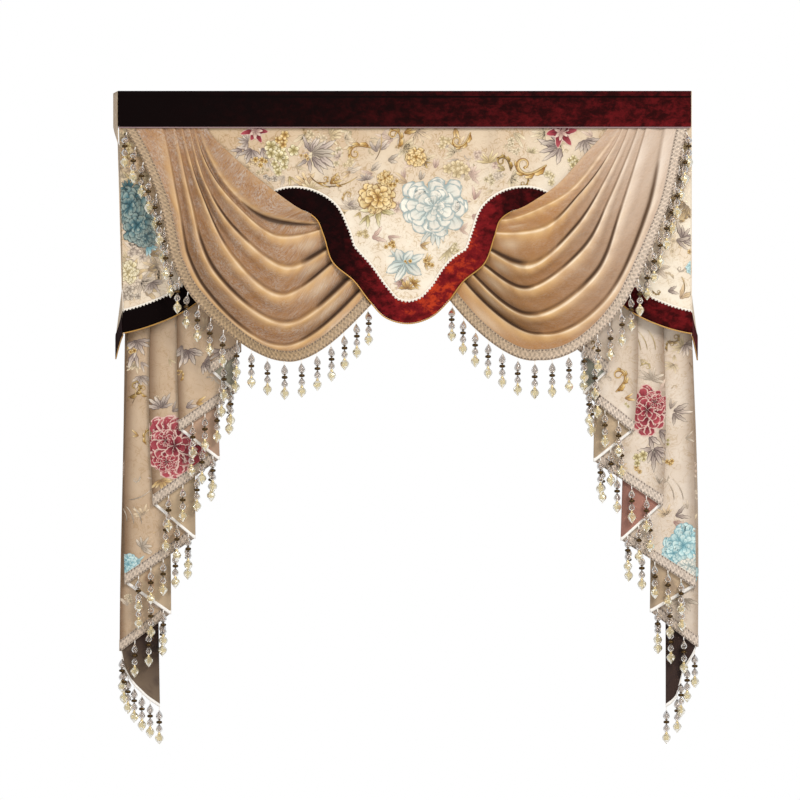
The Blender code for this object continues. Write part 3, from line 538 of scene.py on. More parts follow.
# Motifs of the front panel: the bigger a flower's turn, the rounder it is; a cluster's turn is how
# many flowers it has; any other turn is a direction in radians
PANEL_MOTIFS = (
    # kind, x, z, size, turn, palette, pale
    ("spray", -0.247, -0.259, 0.037, 1.2, "straw", 0.3),
    ("cluster", 0.098, -0.144, 0.031, 4, "straw", 0.2),
    ("cluster", 0.135, -0.196, 0.037, 5, "straw", 0.2),
    ("spray", 0.221, -0.188, 0.039, 1.6, "straw", 0.15),
    ("spray", -0.195, -0.115, 0.042, 0.3, "straw", 0.3),
    ("cluster", -0.156, -0.194, 0.026, 3, "straw", 0.3),
    ("spray", 0.171, -0.220, 0.037, 0.6, "rose", 0.4),
    ("spray", 0.145, -0.364, 0.031, 1.0, "rose", 0.4),
    ("cluster", 0.250, -0.212, 0.024, 4, "ash", 0.4),
    ("cluster", -0.103, -0.369, 0.021, 3, "straw", 0.1),
    ("leaf", -0.085, -0.385, 0.042, 0.4, "rose", 0.2),
    ("leaf", -0.043, -0.380, 0.037, -0.6, "rose", 0.25),
    ("leaf", 0.080, -0.202, 0.034, 1.4, "rose", 0.25),
    ("leaf", 0.001, -0.228, 0.031, 1.9, "rose", 0.25),
    ("leaf", 0.041, -0.233, 0.031, 1.2, "ash", 0.1),
    ("leaf", 0.182, -0.285, 0.037, 1.1, "rose", 0.15),
    ("leaf", 0.177, -0.325, 0.031, -0.4, "rose", 0.2),
    ("spray", 0.114, -0.416, 0.037, -0.8, "lemon", 0.35),
    ("cluster", 0.132, -0.403, 0.024, 3, "lemon", 0.3),
    ("spray", 0.054, -0.448, 0.031, 0.0, "gold", 0.15),
    ("spray", 0.007, -0.518, 0.034, 1.5, "gold", 0.1),
    ("spray", -0.007, -0.505, 0.026, 2.4, "rose", 0.0),
    ("spray", 0.022, -0.505, 0.026, 0.7, "gold", 0.0),
    ("leaf", -0.425, -0.154, 0.034, 3.6, "lilac", 0.0),
    ("spray", -0.399, -0.154, 0.045, -2.1, "lilac", 0.0),
    ("leaf", -0.373, -0.149, 0.039, -1.1, "lilac", 0.0),
    ("spray", -0.410, -0.134, 0.031, 3.0, "lilac", 0.1),
    ("lily", -0.391, -0.105, 0.039, -1.57, "red", 0.0),
    ("lily", -0.391, -0.105, 0.021, -1.2, "rose", 0.0),
    ("cluster", -0.323, -0.149, 0.047, 7, "lemon", 0.0),
    ("cluster", -0.315, -0.196, 0.037, 6, "lemon", 0.05),
    ("cluster", -0.331, -0.128, 0.031, 4, "gold", 0.0),
    ("cluster", -0.373, -0.181, 0.024, 4, "gold", 0.0),
    ("cluster", -0.355, -0.230, 0.021, 3, "ash", 0.0),
    ("leaf", -0.302, -0.223, 0.024, -1.2, "straw", 0.0),
    ("leaf", -0.245, -0.160, 0.052, 1.75, "lilac", 0.05),
    ("leaf", -0.240, -0.160, 0.050, 0.95, "lilac", 0.05),
    ("leaf", -0.240, -0.165, 0.073, 0.12, "lilac", 0.05),
    ("leaf", -0.242, -0.165, 0.058, -0.35, "ash", 0.0),
    ("leaf", -0.242, -0.162, 0.058, 0.55, "ash", 0.0),
    ("leaf", -0.242, -0.173, 0.055, -0.85, "lilac", 0.05),
    ("leaf", -0.250, -0.173, 0.047, -1.85, "lilac", 0.05),
    ("cluster", -0.258, -0.170, 0.018, 3, "gold", 0.1),
    ("cluster", -0.260, -0.110, 0.013, 2, "bronze", 0.2),
    ("scroll", -0.085, -0.149, 0.118, 2.85, "gold", 0.0),
    ("leaf", -0.072, -0.160, 0.037, 1.9, "lilac", 0.15),
    ("leaf", -0.064, -0.154, 0.045, 0.75, "lilac", 0.2),
    ("stem", -0.077, -0.181, 0.073, 0.9, "bronze", 0.2),
    ("cluster", -0.033, -0.120, 0.013, 2, "bronze", 0.0),
    ("leaf", -0.043, -0.181, 0.037, 0.1, "ash", 0.0),
    ("stem", -0.247, -0.223, 0.063, -0.95, "bronze", 0.0),
    ("scroll", -0.229, -0.238, 0.058, -0.25, "gold", 0.0),
    ("back_scroll", -0.161, -0.251, 0.068, 2.75, "gold", 0.0),
    ("stem", -0.206, -0.249, 0.089, -0.15, "bronze", 0.0),
    ("leaf", -0.195, -0.243, 0.037, 0.7, "gold", 0.0),
    ("spray", -0.101, -0.233, 0.026, 1.8, "lilac", 0.1),
    ("back_scroll", -0.161, -0.291, 0.058, 1.5, "gold", 0.1),
    ("leaf", -0.148, -0.298, 0.024, 0.1, "lilac", 0.15),
    ("leaf", -0.117, -0.317, 0.024, -2.0, "straw", 0.0),
    ("spray", -0.069, -0.306, 0.050, -1.5, "lemon", 0.0),
    ("leaf", -0.096, -0.325, 0.039, -1.9, "lemon", 0.0),
    ("bloom", -0.069, -0.278, 0.052, 0.92, "gold", 0.0),
    ("bloom", -0.051, -0.228, 0.024, 0.9, "gold", 0.0),
    ("cluster", -0.069, -0.280, 0.008, 2, "sky", 0.0),
    ("cluster", -0.027, -0.246, 0.018, 3, "gold", 0.0),
    ("cluster", -0.038, -0.401, 0.018, 4, "gold", 0.0),
    ("leaf", -0.022, -0.432, 0.026, 2.7, "ivory_blue", 0.0),
    ("leaf", -0.012, -0.463, 0.031, 3.3, "ivory_blue", 0.0),
    ("lily", 0.001, -0.450, 0.055, -1.3, "ivory_blue", 0.0),
    ("cluster", 0.007, -0.450, 0.013, 3, "gold", 0.0),
    ("cluster", 0.064, -0.453, 0.018, 3, "gold", 0.0),
    ("leaf", 0.041, -0.403, 0.031, -0.3, "gold", 0.2),
    ("spray", 0.082, -0.353, 0.058, -1.2, "ivory_blue", 0.0),
    ("bloom", 0.077, -0.301, 0.094, 0.90, "ivory_blue", 0.0),
    ("bloom", 0.088, -0.304, 0.042, 0.85, "ivory_blue", 0.05),
    ("leaf", 0.119, -0.301, 0.031, -0.45, "teal", 0.1),
    ("leaf", 0.043, -0.249, 0.018, -0.8, "teal", 0.0),
    ("scroll", -0.017, -0.154, 0.105, 1.25, "gold", 0.0),
    ("leaf", -0.001, -0.110, 0.037, 0.3, "gold", 0.0),
    ("bloom", 0.030, -0.173, 0.031, 0.9, "gold", 0.0),
    ("leaf", 0.051, -0.186, 0.024, -0.6, "bronze", 0.1),
    ("back_scroll", 0.174, -0.105, 0.110, -1.9, "gold", 0.0),
    ("leaf", 0.132, -0.097, 0.031, -1.4, "gold", 0.1),
    ("back_scroll", 0.376, -0.191, 0.157, -2.5, "gold", 0.0),
    ("scroll", 0.279, -0.212, 0.094, 1.7, "bronze", 0.0),
    ("back_scroll", 0.323, -0.225, 0.052, -1.6, "bronze", 0.0),
    ("leaf", 0.263, -0.207, 0.031, 2.8, "straw", 0.0),
    ("leaf", 0.402, -0.144, 0.063, 3.35, "lilac", 0.0),
    ("leaf", 0.402, -0.136, 0.052, 2.75, "lilac", 0.0),
    ("leaf", 0.407, -0.149, 0.058, -2.0, "lilac", 0.05),
    ("lily", 0.410, -0.107, 0.042, -1.57, "red", 0.0),
    ("lily", 0.410, -0.107, 0.024, -1.9, "rose", 0.0),
    ("cluster", 0.386, -0.223, 0.024, 5, "lemon", 0.3),
    ("cluster", 0.433, -0.181, 0.026, 4, "lemon", 0.1),
    ("spray", 0.473, -0.128, 0.047, -1.2, "lilac", 0.1),
    ("bloom", -0.719, -0.298, 0.045, 1.3, "teal", 0.0),
    ("bloom", -0.700, -0.351, 0.047, 1.1, "teal", 0.0),
    ("bloom", -0.677, -0.380, 0.031, 1.1, "teal", 0.05),
    ("spray", -0.672, -0.403, 0.034, -0.4, "sky", 0.0),
    ("spray", -0.724, -0.259, 0.037, 1.6, "teal", 0.0),
    ("leaf", -0.666, -0.429, 0.031, 0.3, "bronze", 0.3),
    ("bloom", -0.724, -0.474, 0.029, 1.1, "lemon", 0.15),
    ("leaf", -0.672, -0.469, 0.034, 0.2, "bronze", 0.35),
    ("spray", -0.661, -0.500, 0.039, -1.2, "lilac", 0.1),
    ("cluster", -0.719, -0.537, 0.029, 5, "ash", 0.0),
    ("cluster", -0.724, -0.154, 0.026, 4, "straw", 0.0),
    ("leaf", -0.719, -0.233, 0.031, 1.6, "straw", 0.1),
    ("spray", 0.737, -0.298, 0.052, -2.4, "bronze", 0.35),
    ("scroll", 0.716, -0.343, 0.068, 0.4, "bronze", 0.25),
    ("spray", 0.726, -0.385, 0.047, 0.5, "lilac", 0.0),
    ("leaf", 0.711, -0.390, 0.042, -0.4, "lilac", 0.1),
    ("bloom", 0.753, -0.463, 0.018, 1.0, "sky", 0.0),
    ("scroll", 0.648, -0.521, 0.042, -0.9, "bronze", 0.1),
    ("leaf", 0.690, -0.524, 0.037, 0.2, "lilac", 0.05),
    ("stem", 0.732, -0.526, 0.042, 1.3, "bronze", 0.2),
    ("cluster", 0.747, -0.421, 0.021, 3, "gold", 0.1),
    ("cluster", 0.742, -0.154, 0.026, 4, "straw", 0.1),
)

# Motifs on the tails, in the same columns after the number of the run that each is on
TAIL_LEFT_MOTIFS = (
    # run, kind, x, z, size, turn, palette, pale
    (6, "leaf", -0.708, -0.683, 0.052, -1.7, "lilac", 0.0),
    (6, "spray", -0.703, -0.652, 0.047, -1.3, "lilac", 0.05),
    (6, "leaf", -0.692, -0.709, 0.034, -1.0, "lilac", 0.25),
    (6, "cluster", -0.719, -0.683, 0.021, 3, "gold", 0.0),
    (6, "scroll", -0.729, -0.804, 0.094, 0.35, "bronze", 0.0),
    (6, "back_scroll", -0.674, -0.801, 0.063, 2.7, "gold", 0.0),
    (6, "spray", -0.692, -0.746, 0.037, -1.4, "lilac", 0.2),
    (6, "stem", -0.716, -0.819, 0.042, 0.9, "bronze", 0.2),
    (6, "back_scroll", -0.677, -0.929, 0.079, 1.9, "gold", 0.0),
    (6, "leaf", -0.698, -0.903, 0.024, 2.8, "gold", 0.1),
    (6, "stem", -0.724, -1.071, 0.068, 0.0, "ash", 0.2),
    (6, "stem", -0.711, -1.134, 0.052, 1.55, "ash", 0.25),
    (6, "stem", -0.690, -1.134, 0.052, 1.6, "ash", 0.25),
    (6, "stem", -0.729, -1.128, 0.047, 1.5, "ash", 0.3),
    (6, "spray", -0.692, -1.196, 0.037, 0.6, "ash", 0.2),
    (6, "bloom", -0.726, -1.241, 0.034, 0.9, "sky", 0.0),
    (6, "leaf", -0.713, -1.241, 0.037, 0.3, "sky", 0.1),
    (4, "spray", -0.640, -0.830, 0.047, 1.7, "lilac", 0.05),
    (4, "leaf", -0.609, -0.840, 0.034, 0.9, "lilac", 0.1),
    (4, "bloom", -0.603, -0.929, 0.089, 1.0, "red", 0.0),
    (4, "bloom", -0.627, -0.914, 0.039, 0.9, "red", 0.0),
    (4, "bloom", -0.624, -0.971, 0.037, 0.8, "red", 0.0),
    (4, "spray", -0.640, -1.018, 0.037, -1.1, "gold", 0.15),
    (4, "scroll", -0.661, -1.029, 0.042, 0.2, "bronze", 0.2),
    (2, "spray", -0.567, -0.678, 0.058, -1.4, "lilac", 0.0),
    (2, "leaf", -0.583, -0.665, 0.042, -1.8, "lilac", 0.1),
    (2, "spray", -0.525, -0.709, 0.039, -0.6, "lilac", 0.0),
    (2, "scroll", -0.588, -0.762, 0.058, 1.1, "gold", 0.0),
    (2, "leaf", -0.572, -0.830, 0.042, 0.8, "lilac", 0.05),
    (2, "leaf", -0.546, -0.819, 0.037, 0.3, "gold", 0.1),
    (0, "spray", -0.478, -0.678, 0.047, -1.5, "lilac", 0.05),
    (0, "spray", -0.452, -0.699, 0.037, -1.2, "lilac", 0.1),
)
TAIL_RIGHT_MOTIFS = (
    # run, kind, x, z, size, turn, palette, pale
    (0, "scroll", 0.486, -0.678, 0.047, 0.6, "bronze", 0.0),
    (0, "leaf", 0.470, -0.696, 0.037, -1.0, "lilac", 0.1),
    (2, "scroll", 0.551, -0.791, 0.120, 0.75, "gold", 0.0),
    (2, "leaf", 0.577, -0.804, 0.031, 0.1, "gold", 0.1),
    (2, "cluster", 0.580, -0.819, 0.013, 2, "lemon", 0.2),
    (4, "stem", 0.619, -0.678, 0.058, 1.55, "straw", 0.1),
    (4, "stem", 0.637, -0.678, 0.058, 1.6, "straw", 0.1),
    (4, "stem", 0.658, -0.678, 0.058, 1.5, "straw", 0.1),
    (4, "back_scroll", 0.617, -0.720, 0.052, 0.5, "straw", 0.0),
    (4, "spray", 0.648, -0.757, 0.039, 1.4, "ash", 0.25),
    (4, "spray", 0.656, -0.935, 0.063, -1.5, "lilac", 0.0),
    (4, "leaf", 0.643, -0.903, 0.052, -1.2, "lilac", 0.0),
    (4, "leaf", 0.669, -0.888, 0.047, -0.7, "lilac", 0.0),
    (4, "bloom", 0.637, -0.835, 0.063, 1.05, "red", 0.0),
    (4, "bloom", 0.656, -0.814, 0.034, 0.9, "red", 0.0),
    (4, "leaf", 0.614, -0.872, 0.031, -1.6, "red", 0.0),
    (4, "cluster", 0.627, -0.963, 0.029, 5, "lemon", 0.05),
    (4, "cluster", 0.617, -0.997, 0.021, 3, "gold", 0.1),
    (4, "leaf", 0.669, -1.029, 0.026, 1.6, "ash", 0.0),
    (6, "back_scroll", 0.690, -0.683, 0.058, 1.7, "bronze", 0.1),
    (6, "spray", 0.737, -0.662, 0.039, -0.9, "lilac", 0.1),
    (6, "scroll", 0.687, -0.654, 0.068, -0.25, "bronze", 0.2),
    (6, "stem", 0.747, -0.709, 0.047, -1.2, "bronze", 0.2),
    (6, "leaf", 0.706, -0.838, 0.052, 0.1, "lilac", 0.1),
    (6, "leaf", 0.706, -0.843, 0.042, -0.9, "lilac", 0.1),
    (6, "leaf", 0.698, -0.833, 0.031, 1.3, "lilac", 0.25),
    (6, "cluster", 0.692, -0.914, 0.016, 2, "lemon", 0.0),
    (6, "cluster", 0.690, -0.971, 0.021, 4, "gold", 0.0),
    (6, "stem", 0.708, -1.071, 0.063, 1.55, "ash", 0.35),
    (6, "stem", 0.732, -1.071, 0.063, 1.6, "ash", 0.35),
    (6, "leaf", 0.711, -1.113, 0.045, 0.3, "lilac", 0.05),
    (6, "leaf", 0.706, -1.128, 0.037, -0.4, "rose", 0.1),
    (6, "bloom", 0.732, -1.191, 0.052, 1.1, "sky", 0.0),
    (6, "bloom", 0.706, -1.212, 0.034, 1.0, "sky", 0.0),
    (6, "bloom", 0.747, -1.244, 0.037, 1.0, "ivory_blue", 0.0),
    (8, "bloom", 0.732, -1.267, 0.042, 1.1, "sky", 0.0),
    (8, "spray", 0.732, -1.333, 0.042, -1.4, "ash", 0.1),
)


# Materials
def add_node(tree, kind, sockets=None, **settings):
    """Shader node with its settings, and its inputs as values or as other nodes' outputs."""
    node = tree.nodes.new("ShaderNode" + kind)
    for key, value in settings.items():
        setattr(node, key, value)
    for key, value in (sockets or {}).items():
        if isinstance(value, bpy.types.NodeSocket):
            tree.links.new(value, node.inputs[key])
        else:
            node.inputs[key].default_value = value
    return node


def maths(tree, operation, *values):
    """Output of a math node."""
    return add_node(tree, "Math", dict(enumerate(values)), operation=operation).outputs[0]


def blend(tree, share, low, high, how="MIX"):
    """Output of a colour mix."""
    low, high = (value if isinstance(value, bpy.types.NodeSocket) else (*value, 1.0) for value in (low, high))
    return add_node(tree, "Mix", {0: share, 6: low, 7: high}, data_type="RGBA", blend_type=how).outputs[2]


def times(tree, first, second):
    """Output of a product."""
    return maths(tree, "MULTIPLY", first, second)


def shaded(tree, colour, shade):
    """Output of a product of colours."""
    return blend(tree, 1.0, colour, shade, "MULTIPLY")


def grey(tree, share, low, high):
    """Output of a grey between two brightnesses."""
    return blend(tree, share, (low,) * 3, (high,) * 3)


def opaque(code):
    """Value of a colour socket for a #rrggbb code."""
    return (*tint(code), 1.0)


def noise(tree, vector, scale, detail=4.0, rough=0.6, warp=0.0):
    """Output of a noise texture, 0 to 1."""
    sockets = {"Vector": vector, "Scale": scale, "Detail": detail, "Roughness": rough, "Distortion": warp}
    return add_node(tree, "TexNoise", sockets).outputs["Fac"]


def ramp(tree, value, start, end, low=0.0, high=1.0):
    """Smooth step of a value from low to high."""
    sockets = {"Value": value, "From Min": start, "From Max": end, "To Min": low, "To Max": high}
    return add_node(tree, "MapRange", sockets, interpolation_type="SMOOTHSTEP").outputs["Result"]


def new_group(name, inputs, outputs):
    """Shader node group with named sockets: (tree, its input node, its output node)."""
    tree = bpy.data.node_groups.new(name, "ShaderNodeTree")
    for label, kind, value in inputs:
        socket = tree.interface.new_socket(name=label, in_out="INPUT", socket_type="NodeSocket" + kind)
        if value is not None:
            socket.default_value = value
    for label, kind in outputs:
        tree.interface.new_socket(name=label, in_out="OUTPUT", socket_type="NodeSocket" + kind)
    return tree, tree.nodes.new("NodeGroupInput"), tree.nodes.new("NodeGroupOutput")


def weave_group():
    """Woven threads: UV in metres and a thread pitch give a height and a darker shade between threads."""
    inputs = (("UV", "Vector", None), ("Pitch", "Float", THREAD_PITCH))
    tree, given, result = new_group("woven threads", inputs, (("Height", "Float"), ("Shade", "Float")))
    axes = add_node(tree, "SeparateXYZ", {0: given.outputs["UV"]}).outputs
    turns = maths(tree, "DIVIDE", 2 * np.pi, given.outputs["Pitch"])
    across, down = (maths(tree, "SINE", times(tree, axes[k], turns)) for k in (0, 1))
    height = maths(tree, "MULTIPLY_ADD", times(tree, across, down), 0.5, 0.5)
    tree.links.new(height, result.inputs["Height"])
    tree.links.new(maths(tree, "MULTIPLY_ADD", height, 0.16, 0.88), result.inputs["Shade"])
    return tree


def pile_group():
    """Brushed or crushed pile: a vector and a scale give patches of turned pile and fine fibres."""
    inputs = (("Vector", "Vector", None), ("Scale", "Float", 30.0))
    tree, given, result = new_group("turned pile", inputs, (("Patches", "Float"), ("Fibres", "Float")))
    scale = given.outputs["Scale"]
    broad = noise(tree, given.outputs["Vector"], scale, detail=9.0, rough=0.72, warp=0.25)
    tree.links.new(ramp(tree, broad, 0.36, 0.66), result.inputs["Patches"])
    fine = noise(tree, given.outputs["Vector"], times(tree, scale, 9.0), detail=3.0)
    tree.links.new(fine, result.inputs["Fibres"])
    return tree


def use_group(tree, group, sockets):
    """Outputs of a shared effect."""
    return add_node(tree, "Group", sockets, node_tree=group).outputs


def new_finish(name, rough, **constants):
    """Material and its tree and Principled node, with constant values on its sockets."""
    material = bpy.data.materials.new(name)
    material.use_nodes = True
    shader = material.node_tree.nodes["Principled BSDF"]
    shader.inputs["Roughness"].default_value = rough
    for key, value in constants.items():
        shader.inputs[key.replace("_", " ")].default_value = value
    return material, material.node_tree, shader


def bump(tree, shader, height, depth):
    """Bump of a depth in metres on the shader."""
    node = add_node(tree, "Bump", {"Height": height, "Distance": depth, "Strength": 1.0})
    tree.links.new(node.outputs[0], shader.inputs["Normal"])


def paint(tree, shader, colour, shade):
    """Base colour of the shader: a colour times a shade."""
    tree.links.new(shaded(tree, colour, shade), shader.inputs["Base Color"])


def field(tree, name, output="Fac"):
    """A named field of the surface, as a value or, from the output Color, as a colour."""
    return add_node(tree, "Attribute", attribute_name=name).outputs[output]


def place_of(tree):
    """Object coordinates, the frame's metres."""
    return add_node(tree, "TexCoord").outputs["Object"]


def cloth_uv(tree):
    """The cloth's own metres."""
    return add_node(tree, "UVMap", uv_map="cloth").outputs["UV"]


def stretched(tree, vector, across):
    """A vector whose first part is scaled, so that a pattern on it is drawn out across."""
    return add_node(tree, "Mapping", {"Vector": vector, "Scale": (across, 1.0, 1.0)}).outputs[0]


THREAD_PITCH = 0.0022
DIAMOND_LENGTH = 0.0125
STITCH_PITCH = 0.0085
WEAVE = weave_group()
PILE = pile_group()


def burgundy_velvet():
    """Crushed burgundy pile with painted light: a field takes it from near black through wine to an orange
    red.
    """
    material, tree, shader = new_finish("burgundy velvet", 0.8, Sheen_Weight=0.02, Sheen_Roughness=0.4,
                                        Sheen_Tint=opaque("#c02030"), Specular_IOR_Level=0.06)
    pile = use_group(tree, PILE, {"Vector": stretched(tree, place_of(tree), 0.7), "Scale": 50.0})
    # painted light: brighter where the field is high, broken by the pile's patches, up to a painted
    # orange-red highlight
    lit = times(tree, field(tree, "painted_light"), maths(tree, "MULTIPLY_ADD", pile["Patches"], 0.90, 0.44))
    deep = blend(tree, ramp(tree, lit, 0.0, 0.6), tint("#080101"), tint("#6e1418"))
    warm = blend(tree, ramp(tree, lit, 0.55, 1.15), deep, tint("#b0381c"))
    paint(tree, shader, warm, grey(tree, pile["Fibres"], 0.65, 1.3))
    bump(tree, shader, maths(tree, "MULTIPLY_ADD", pile["Fibres"], 0.4, pile["Patches"]), 0.0006)
    return material


def tan_velvet():
    """Brushed tan pile with painted light and shade: painted highlights on crests, painted shade in valleys,
    silvery where it is brushed flat.

    Each tone is a pair, of the cloth as dyed and of the cloth paler under painted light, which the field pale
    mixes.
    """
    material, tree, shader = new_finish("tan velvet", 0.62, Sheen_Weight=0.30, Sheen_Roughness=0.35,
                                        Sheen_Tint=opaque("#f0dcc0"), Specular_IOR_Level=0.25)
    brushed = stretched(tree, cloth_uv(tree), 0.75)
    pile = use_group(tree, PILE, {"Vector": brushed, "Scale": 26.0})
    names = ("valley", "crest", "pale", "silver", "painted_highlight", "painted_deep_shade")
    valley, crest, pale, silver, painted_highlight, painted_deep_shade = (field(tree, name) for name in names)

    # the second tone of each pair is the cloth paler under painted light
    def tone(dyed, painted_lit):
        return blend(tree, pale, tint(dyed), tint(painted_lit))

    spots = ramp(tree, noise(tree, brushed, 200.0, rough=0.85), 0.44, 0.55)
    streaks = times(tree, maths(tree, "MULTIPLY_ADD", pile["Patches"], 0.95, 0.15), spots)
    worn = ramp(tree, noise(tree, brushed, 120.0, detail=6.0, rough=0.85), 0.50, 0.60, 0.0, 0.8)
    cloth = blend(tree, times(tree, worn, silver), tone("#aa7a4a", "#d3c1b0"), tone("#7c5440", "#c0a68e"))
    cloth = blend(tree, times(tree, streaks, silver), cloth, tint("#c6b6a8"))
    # painted light and shade: a painted highlight on the crests, a painted shine, painted shade in the
    # valleys and deeper painted shade in the pockets and along dark lines
    cloth = blend(tree, crest, cloth, tone("#cfa670", "#e6d8ca"))
    cloth = blend(tree, painted_highlight, cloth, tone("#f4dfbf", "#faf0e4"))
    cloth = blend(tree, times(tree, valley, 0.62), cloth, tone("#77502b", "#a58a70"))
    cloth = blend(tree, painted_deep_shade, cloth, tone("#2c180a", "#5e452f"))
    paint(tree, shader, cloth, grey(tree, pile["Fibres"], 0.86, 1.12))
    bump(tree, shader, maths(tree, "MULTIPLY_ADD", pile["Fibres"], 0.5, pile["Patches"]), 0.0004)
    return material


def jacquard(name, low, high, veined):
    """Woven ground between two tones, with faint veins; one field warms and darkens it as painted shade, and
    one darkens it further as painted shade.
    """
    material, tree, shader = new_finish(name, 0.72, Sheen_Weight=0.08, Specular_IOR_Level=0.3)
    weave = use_group(tree, WEAVE, {"UV": cloth_uv(tree)})
    cloud = noise(tree, place_of(tree), 9.0, detail=5.0, warp=0.4)
    wisp = noise(tree, place_of(tree), 30.0, detail=3.0, rough=0.55, warp=1.6)
    base = blend(tree, ramp(tree, cloud, 0.35, 0.65), tint(low), tint(high))
    vein = ramp(tree, maths(tree, "ABSOLUTE", maths(tree, "SUBTRACT", wisp, 0.5)), 0.035, 0.0)
    vein = times(tree, vein, ramp(tree, cloud, 0.62, 0.45))
    base = blend(tree, times(tree, vein, veined), base, tint("#b99a66"))
    # painted shade: the first field warms and darkens the ground, the second darkens it at fold edges and on
    # the returns
    base = blend(tree, field(tree, "warm"), base, shaded(tree, base, tint("#dac8b2")))
    base = blend(tree, field(tree, "painted_shade"), base, shaded(tree, base, tint("#917c68")))
    paint(tree, shader, base, weave["Shade"])
    bump(tree, shader, maths(tree, "MULTIPLY_ADD", wisp, 0.8, weave["Height"]), 0.00035)
    return material


def reverse_cloth():
    """Reverse of the tails: a muted ground with the floats of the face pattern showing as stains."""
    material, tree, shader = new_finish("jacquard reverse", 0.8)
    weave = use_group(tree, WEAVE, {"UV": cloth_uv(tree)})
    stain = noise(tree, place_of(tree), 11.0, rough=0.55, warp=1.2)
    stained = maths(tree, "MAXIMUM", ramp(tree, stain, 0.50, 0.66, 0.0, 0.75), field(tree, "dyed"))
    colour = blend(tree, stained, tint("#c9b090"), field(tree, "back", "Color"))
    # painted shade: darker near the folds and over the rearmost run
    colour = blend(tree, field(tree, "painted_reverse_shade"), colour, shaded(tree, colour, tint("#46302a")))
    paint(tree, shader, colour, weave["Shade"])
    bump(tree, shader, weave["Height"], 0.0003)
    return material


def thread_finish():
    """Threads of the woven flowers: their own colour, drawn lines along them and a rim in the line colour."""
    material, tree, shader = new_finish("flower threads", 0.62, Sheen_Weight=0.1, Specular_IOR_Level=0.3)
    colour = field(tree, "thread", "Color")
    own = add_node(tree, "SeparateXYZ", {0: cloth_uv(tree)}).outputs
    along, across = own[0], maths(tree, "ABSOLUTE", own[1])
    rim = maths(tree, "MAXIMUM", ramp(tree, across, 0.66, 0.90), ramp(tree, along, 0.88, 0.97))
    turns = maths(tree, "MULTIPLY_ADD", own[1], 9.0, times(tree, along, 3.0))
    stroke = times(tree, ramp(tree, maths(tree, "SINE", turns), 0.1, 0.9), ramp(tree, along, 0.95, 0.25))
    drawn = blend(tree, times(tree, stroke, 0.75), colour, shaded(tree, colour, (0.36,) * 3))
    drawn = blend(tree, times(tree, rim, 0.85), drawn, field(tree, "line", "Color"))
    fine = noise(tree, place_of(tree), 420.0, detail=2.0)
    paint(tree, shader, drawn, grey(tree, fine, 0.80, 1.12))
    bump(tree, shader, maths(tree, "SUBTRACT", fine, stroke), 0.0003)
    return material


def braid_finish():
    """Woven braid: a silvery diamond weave between two lines of dark stitches; UV.y is 0 to 1 across."""
    material, tree, shader = new_finish("woven braid", 0.55, Sheen_Weight=0.2)
    along, across, _ = add_node(tree, "SeparateXYZ", {0: cloth_uv(tree)}).outputs

    def wave(value, turns):
        return maths(tree, "SINE", times(tree, value, 2 * np.pi * turns))

    def away(value, place):
        return maths(tree, "ABSOLUTE", maths(tree, "SUBTRACT", value, place))

    diamonds = times(tree, wave(along, 1 / DIAMOND_LENGTH), wave(across, 1.5))
    dash = ramp(tree, wave(along, 1 / STITCH_PITCH), -0.2, 0.3)
    stitch = times(tree, ramp(tree, away(away(across, 0.5), 0.40), 0.09, 0.03), dash)
    fleck = noise(tree, place_of(tree), 260.0, detail=3.0)
    # painted shade: the field warm browns the silk
    silk = blend(tree, field(tree, "warm"), tint("#e5d4c4"), tint("#b2946e"))
    silk = blend(tree, ramp(tree, diamonds, -0.4, 0.3), shaded(tree, silk, (0.70,) * 3), silk)
    silk = blend(tree, ramp(tree, fleck, 0.56, 0.42, 0.0, 0.5), silk, shaded(tree, silk, (0.5,) * 3))
    silk = blend(tree, times(tree, stitch, 0.8), silk, tint("#5a463a"))
    tree.links.new(silk, shader.inputs["Base Color"])
    bump(tree, shader, maths(tree, "SUBTRACT", diamonds, stitch), 0.0008)
    return material


def plain_finish(name, code, rough, ridge=0.0, **constants):
    """One-coloured cord, tape or metal, with fine ridges in its bump and a slight uneven shade."""
    material, tree, shader = new_finish(name, rough, **constants)
    fine = noise(tree, place_of(tree), 300.0, detail=2.0)
    paint(tree, shader, tint(code), grey(tree, fine, 0.85, 1.12))
    if ridge:
        bump(tree, shader, fine, ridge)
    return material


def bead_finish(name, code, see_through, rough):
    """Clear or tinted bead."""
    return new_finish(name, rough, IOR=1.49, Transmission_Weight=see_through, Base_Color=opaque(code))[0]


VELVET = burgundy_velvet()
SUEDE = tan_velvet()
SUEDE_BACK = plain_finish("velvet back", "#a5825c", 0.85, 0.0003)
GROUND = jacquard("jacquard ground", "#ead8c0", "#f4e8d4", 0.6)
TAIL_GROUND = jacquard("jacquard of the tails", "#e2d2c0", "#eee2d4", 0.4)
LINING = plain_finish("lining", "#e6dccb", 0.85, 0.0002)
REVERSE = reverse_cloth()
THREADS = thread_finish()
BRAID = braid_finish()
GIMP = plain_finish("ivory gimp", "#ebe2d4", 0.6, 0.0005)
TAPE = plain_finish("white tape", "#f4efe8", 0.7, 0.0003)
PIPING = plain_finish("gold piping", "#c09048", 0.40, 0.0002, Metallic=0.35)
WELT = plain_finish("mauve welt", "#8e7476", 0.6, 0.0002)
CLEAR = bead_finish("clear bead", "#dacdc2", 0.92, 0.04)
CHAMPAGNE = bead_finish("champagne bead", "#f4e6bc", 0.72, 0.06)
BRONZE = plain_finish("bronze", "#4c381a", 0.34, Metallic=0.8)
GOLD = plain_finish("gold cap", "#e6d09a", 0.30, Metallic=0.6)


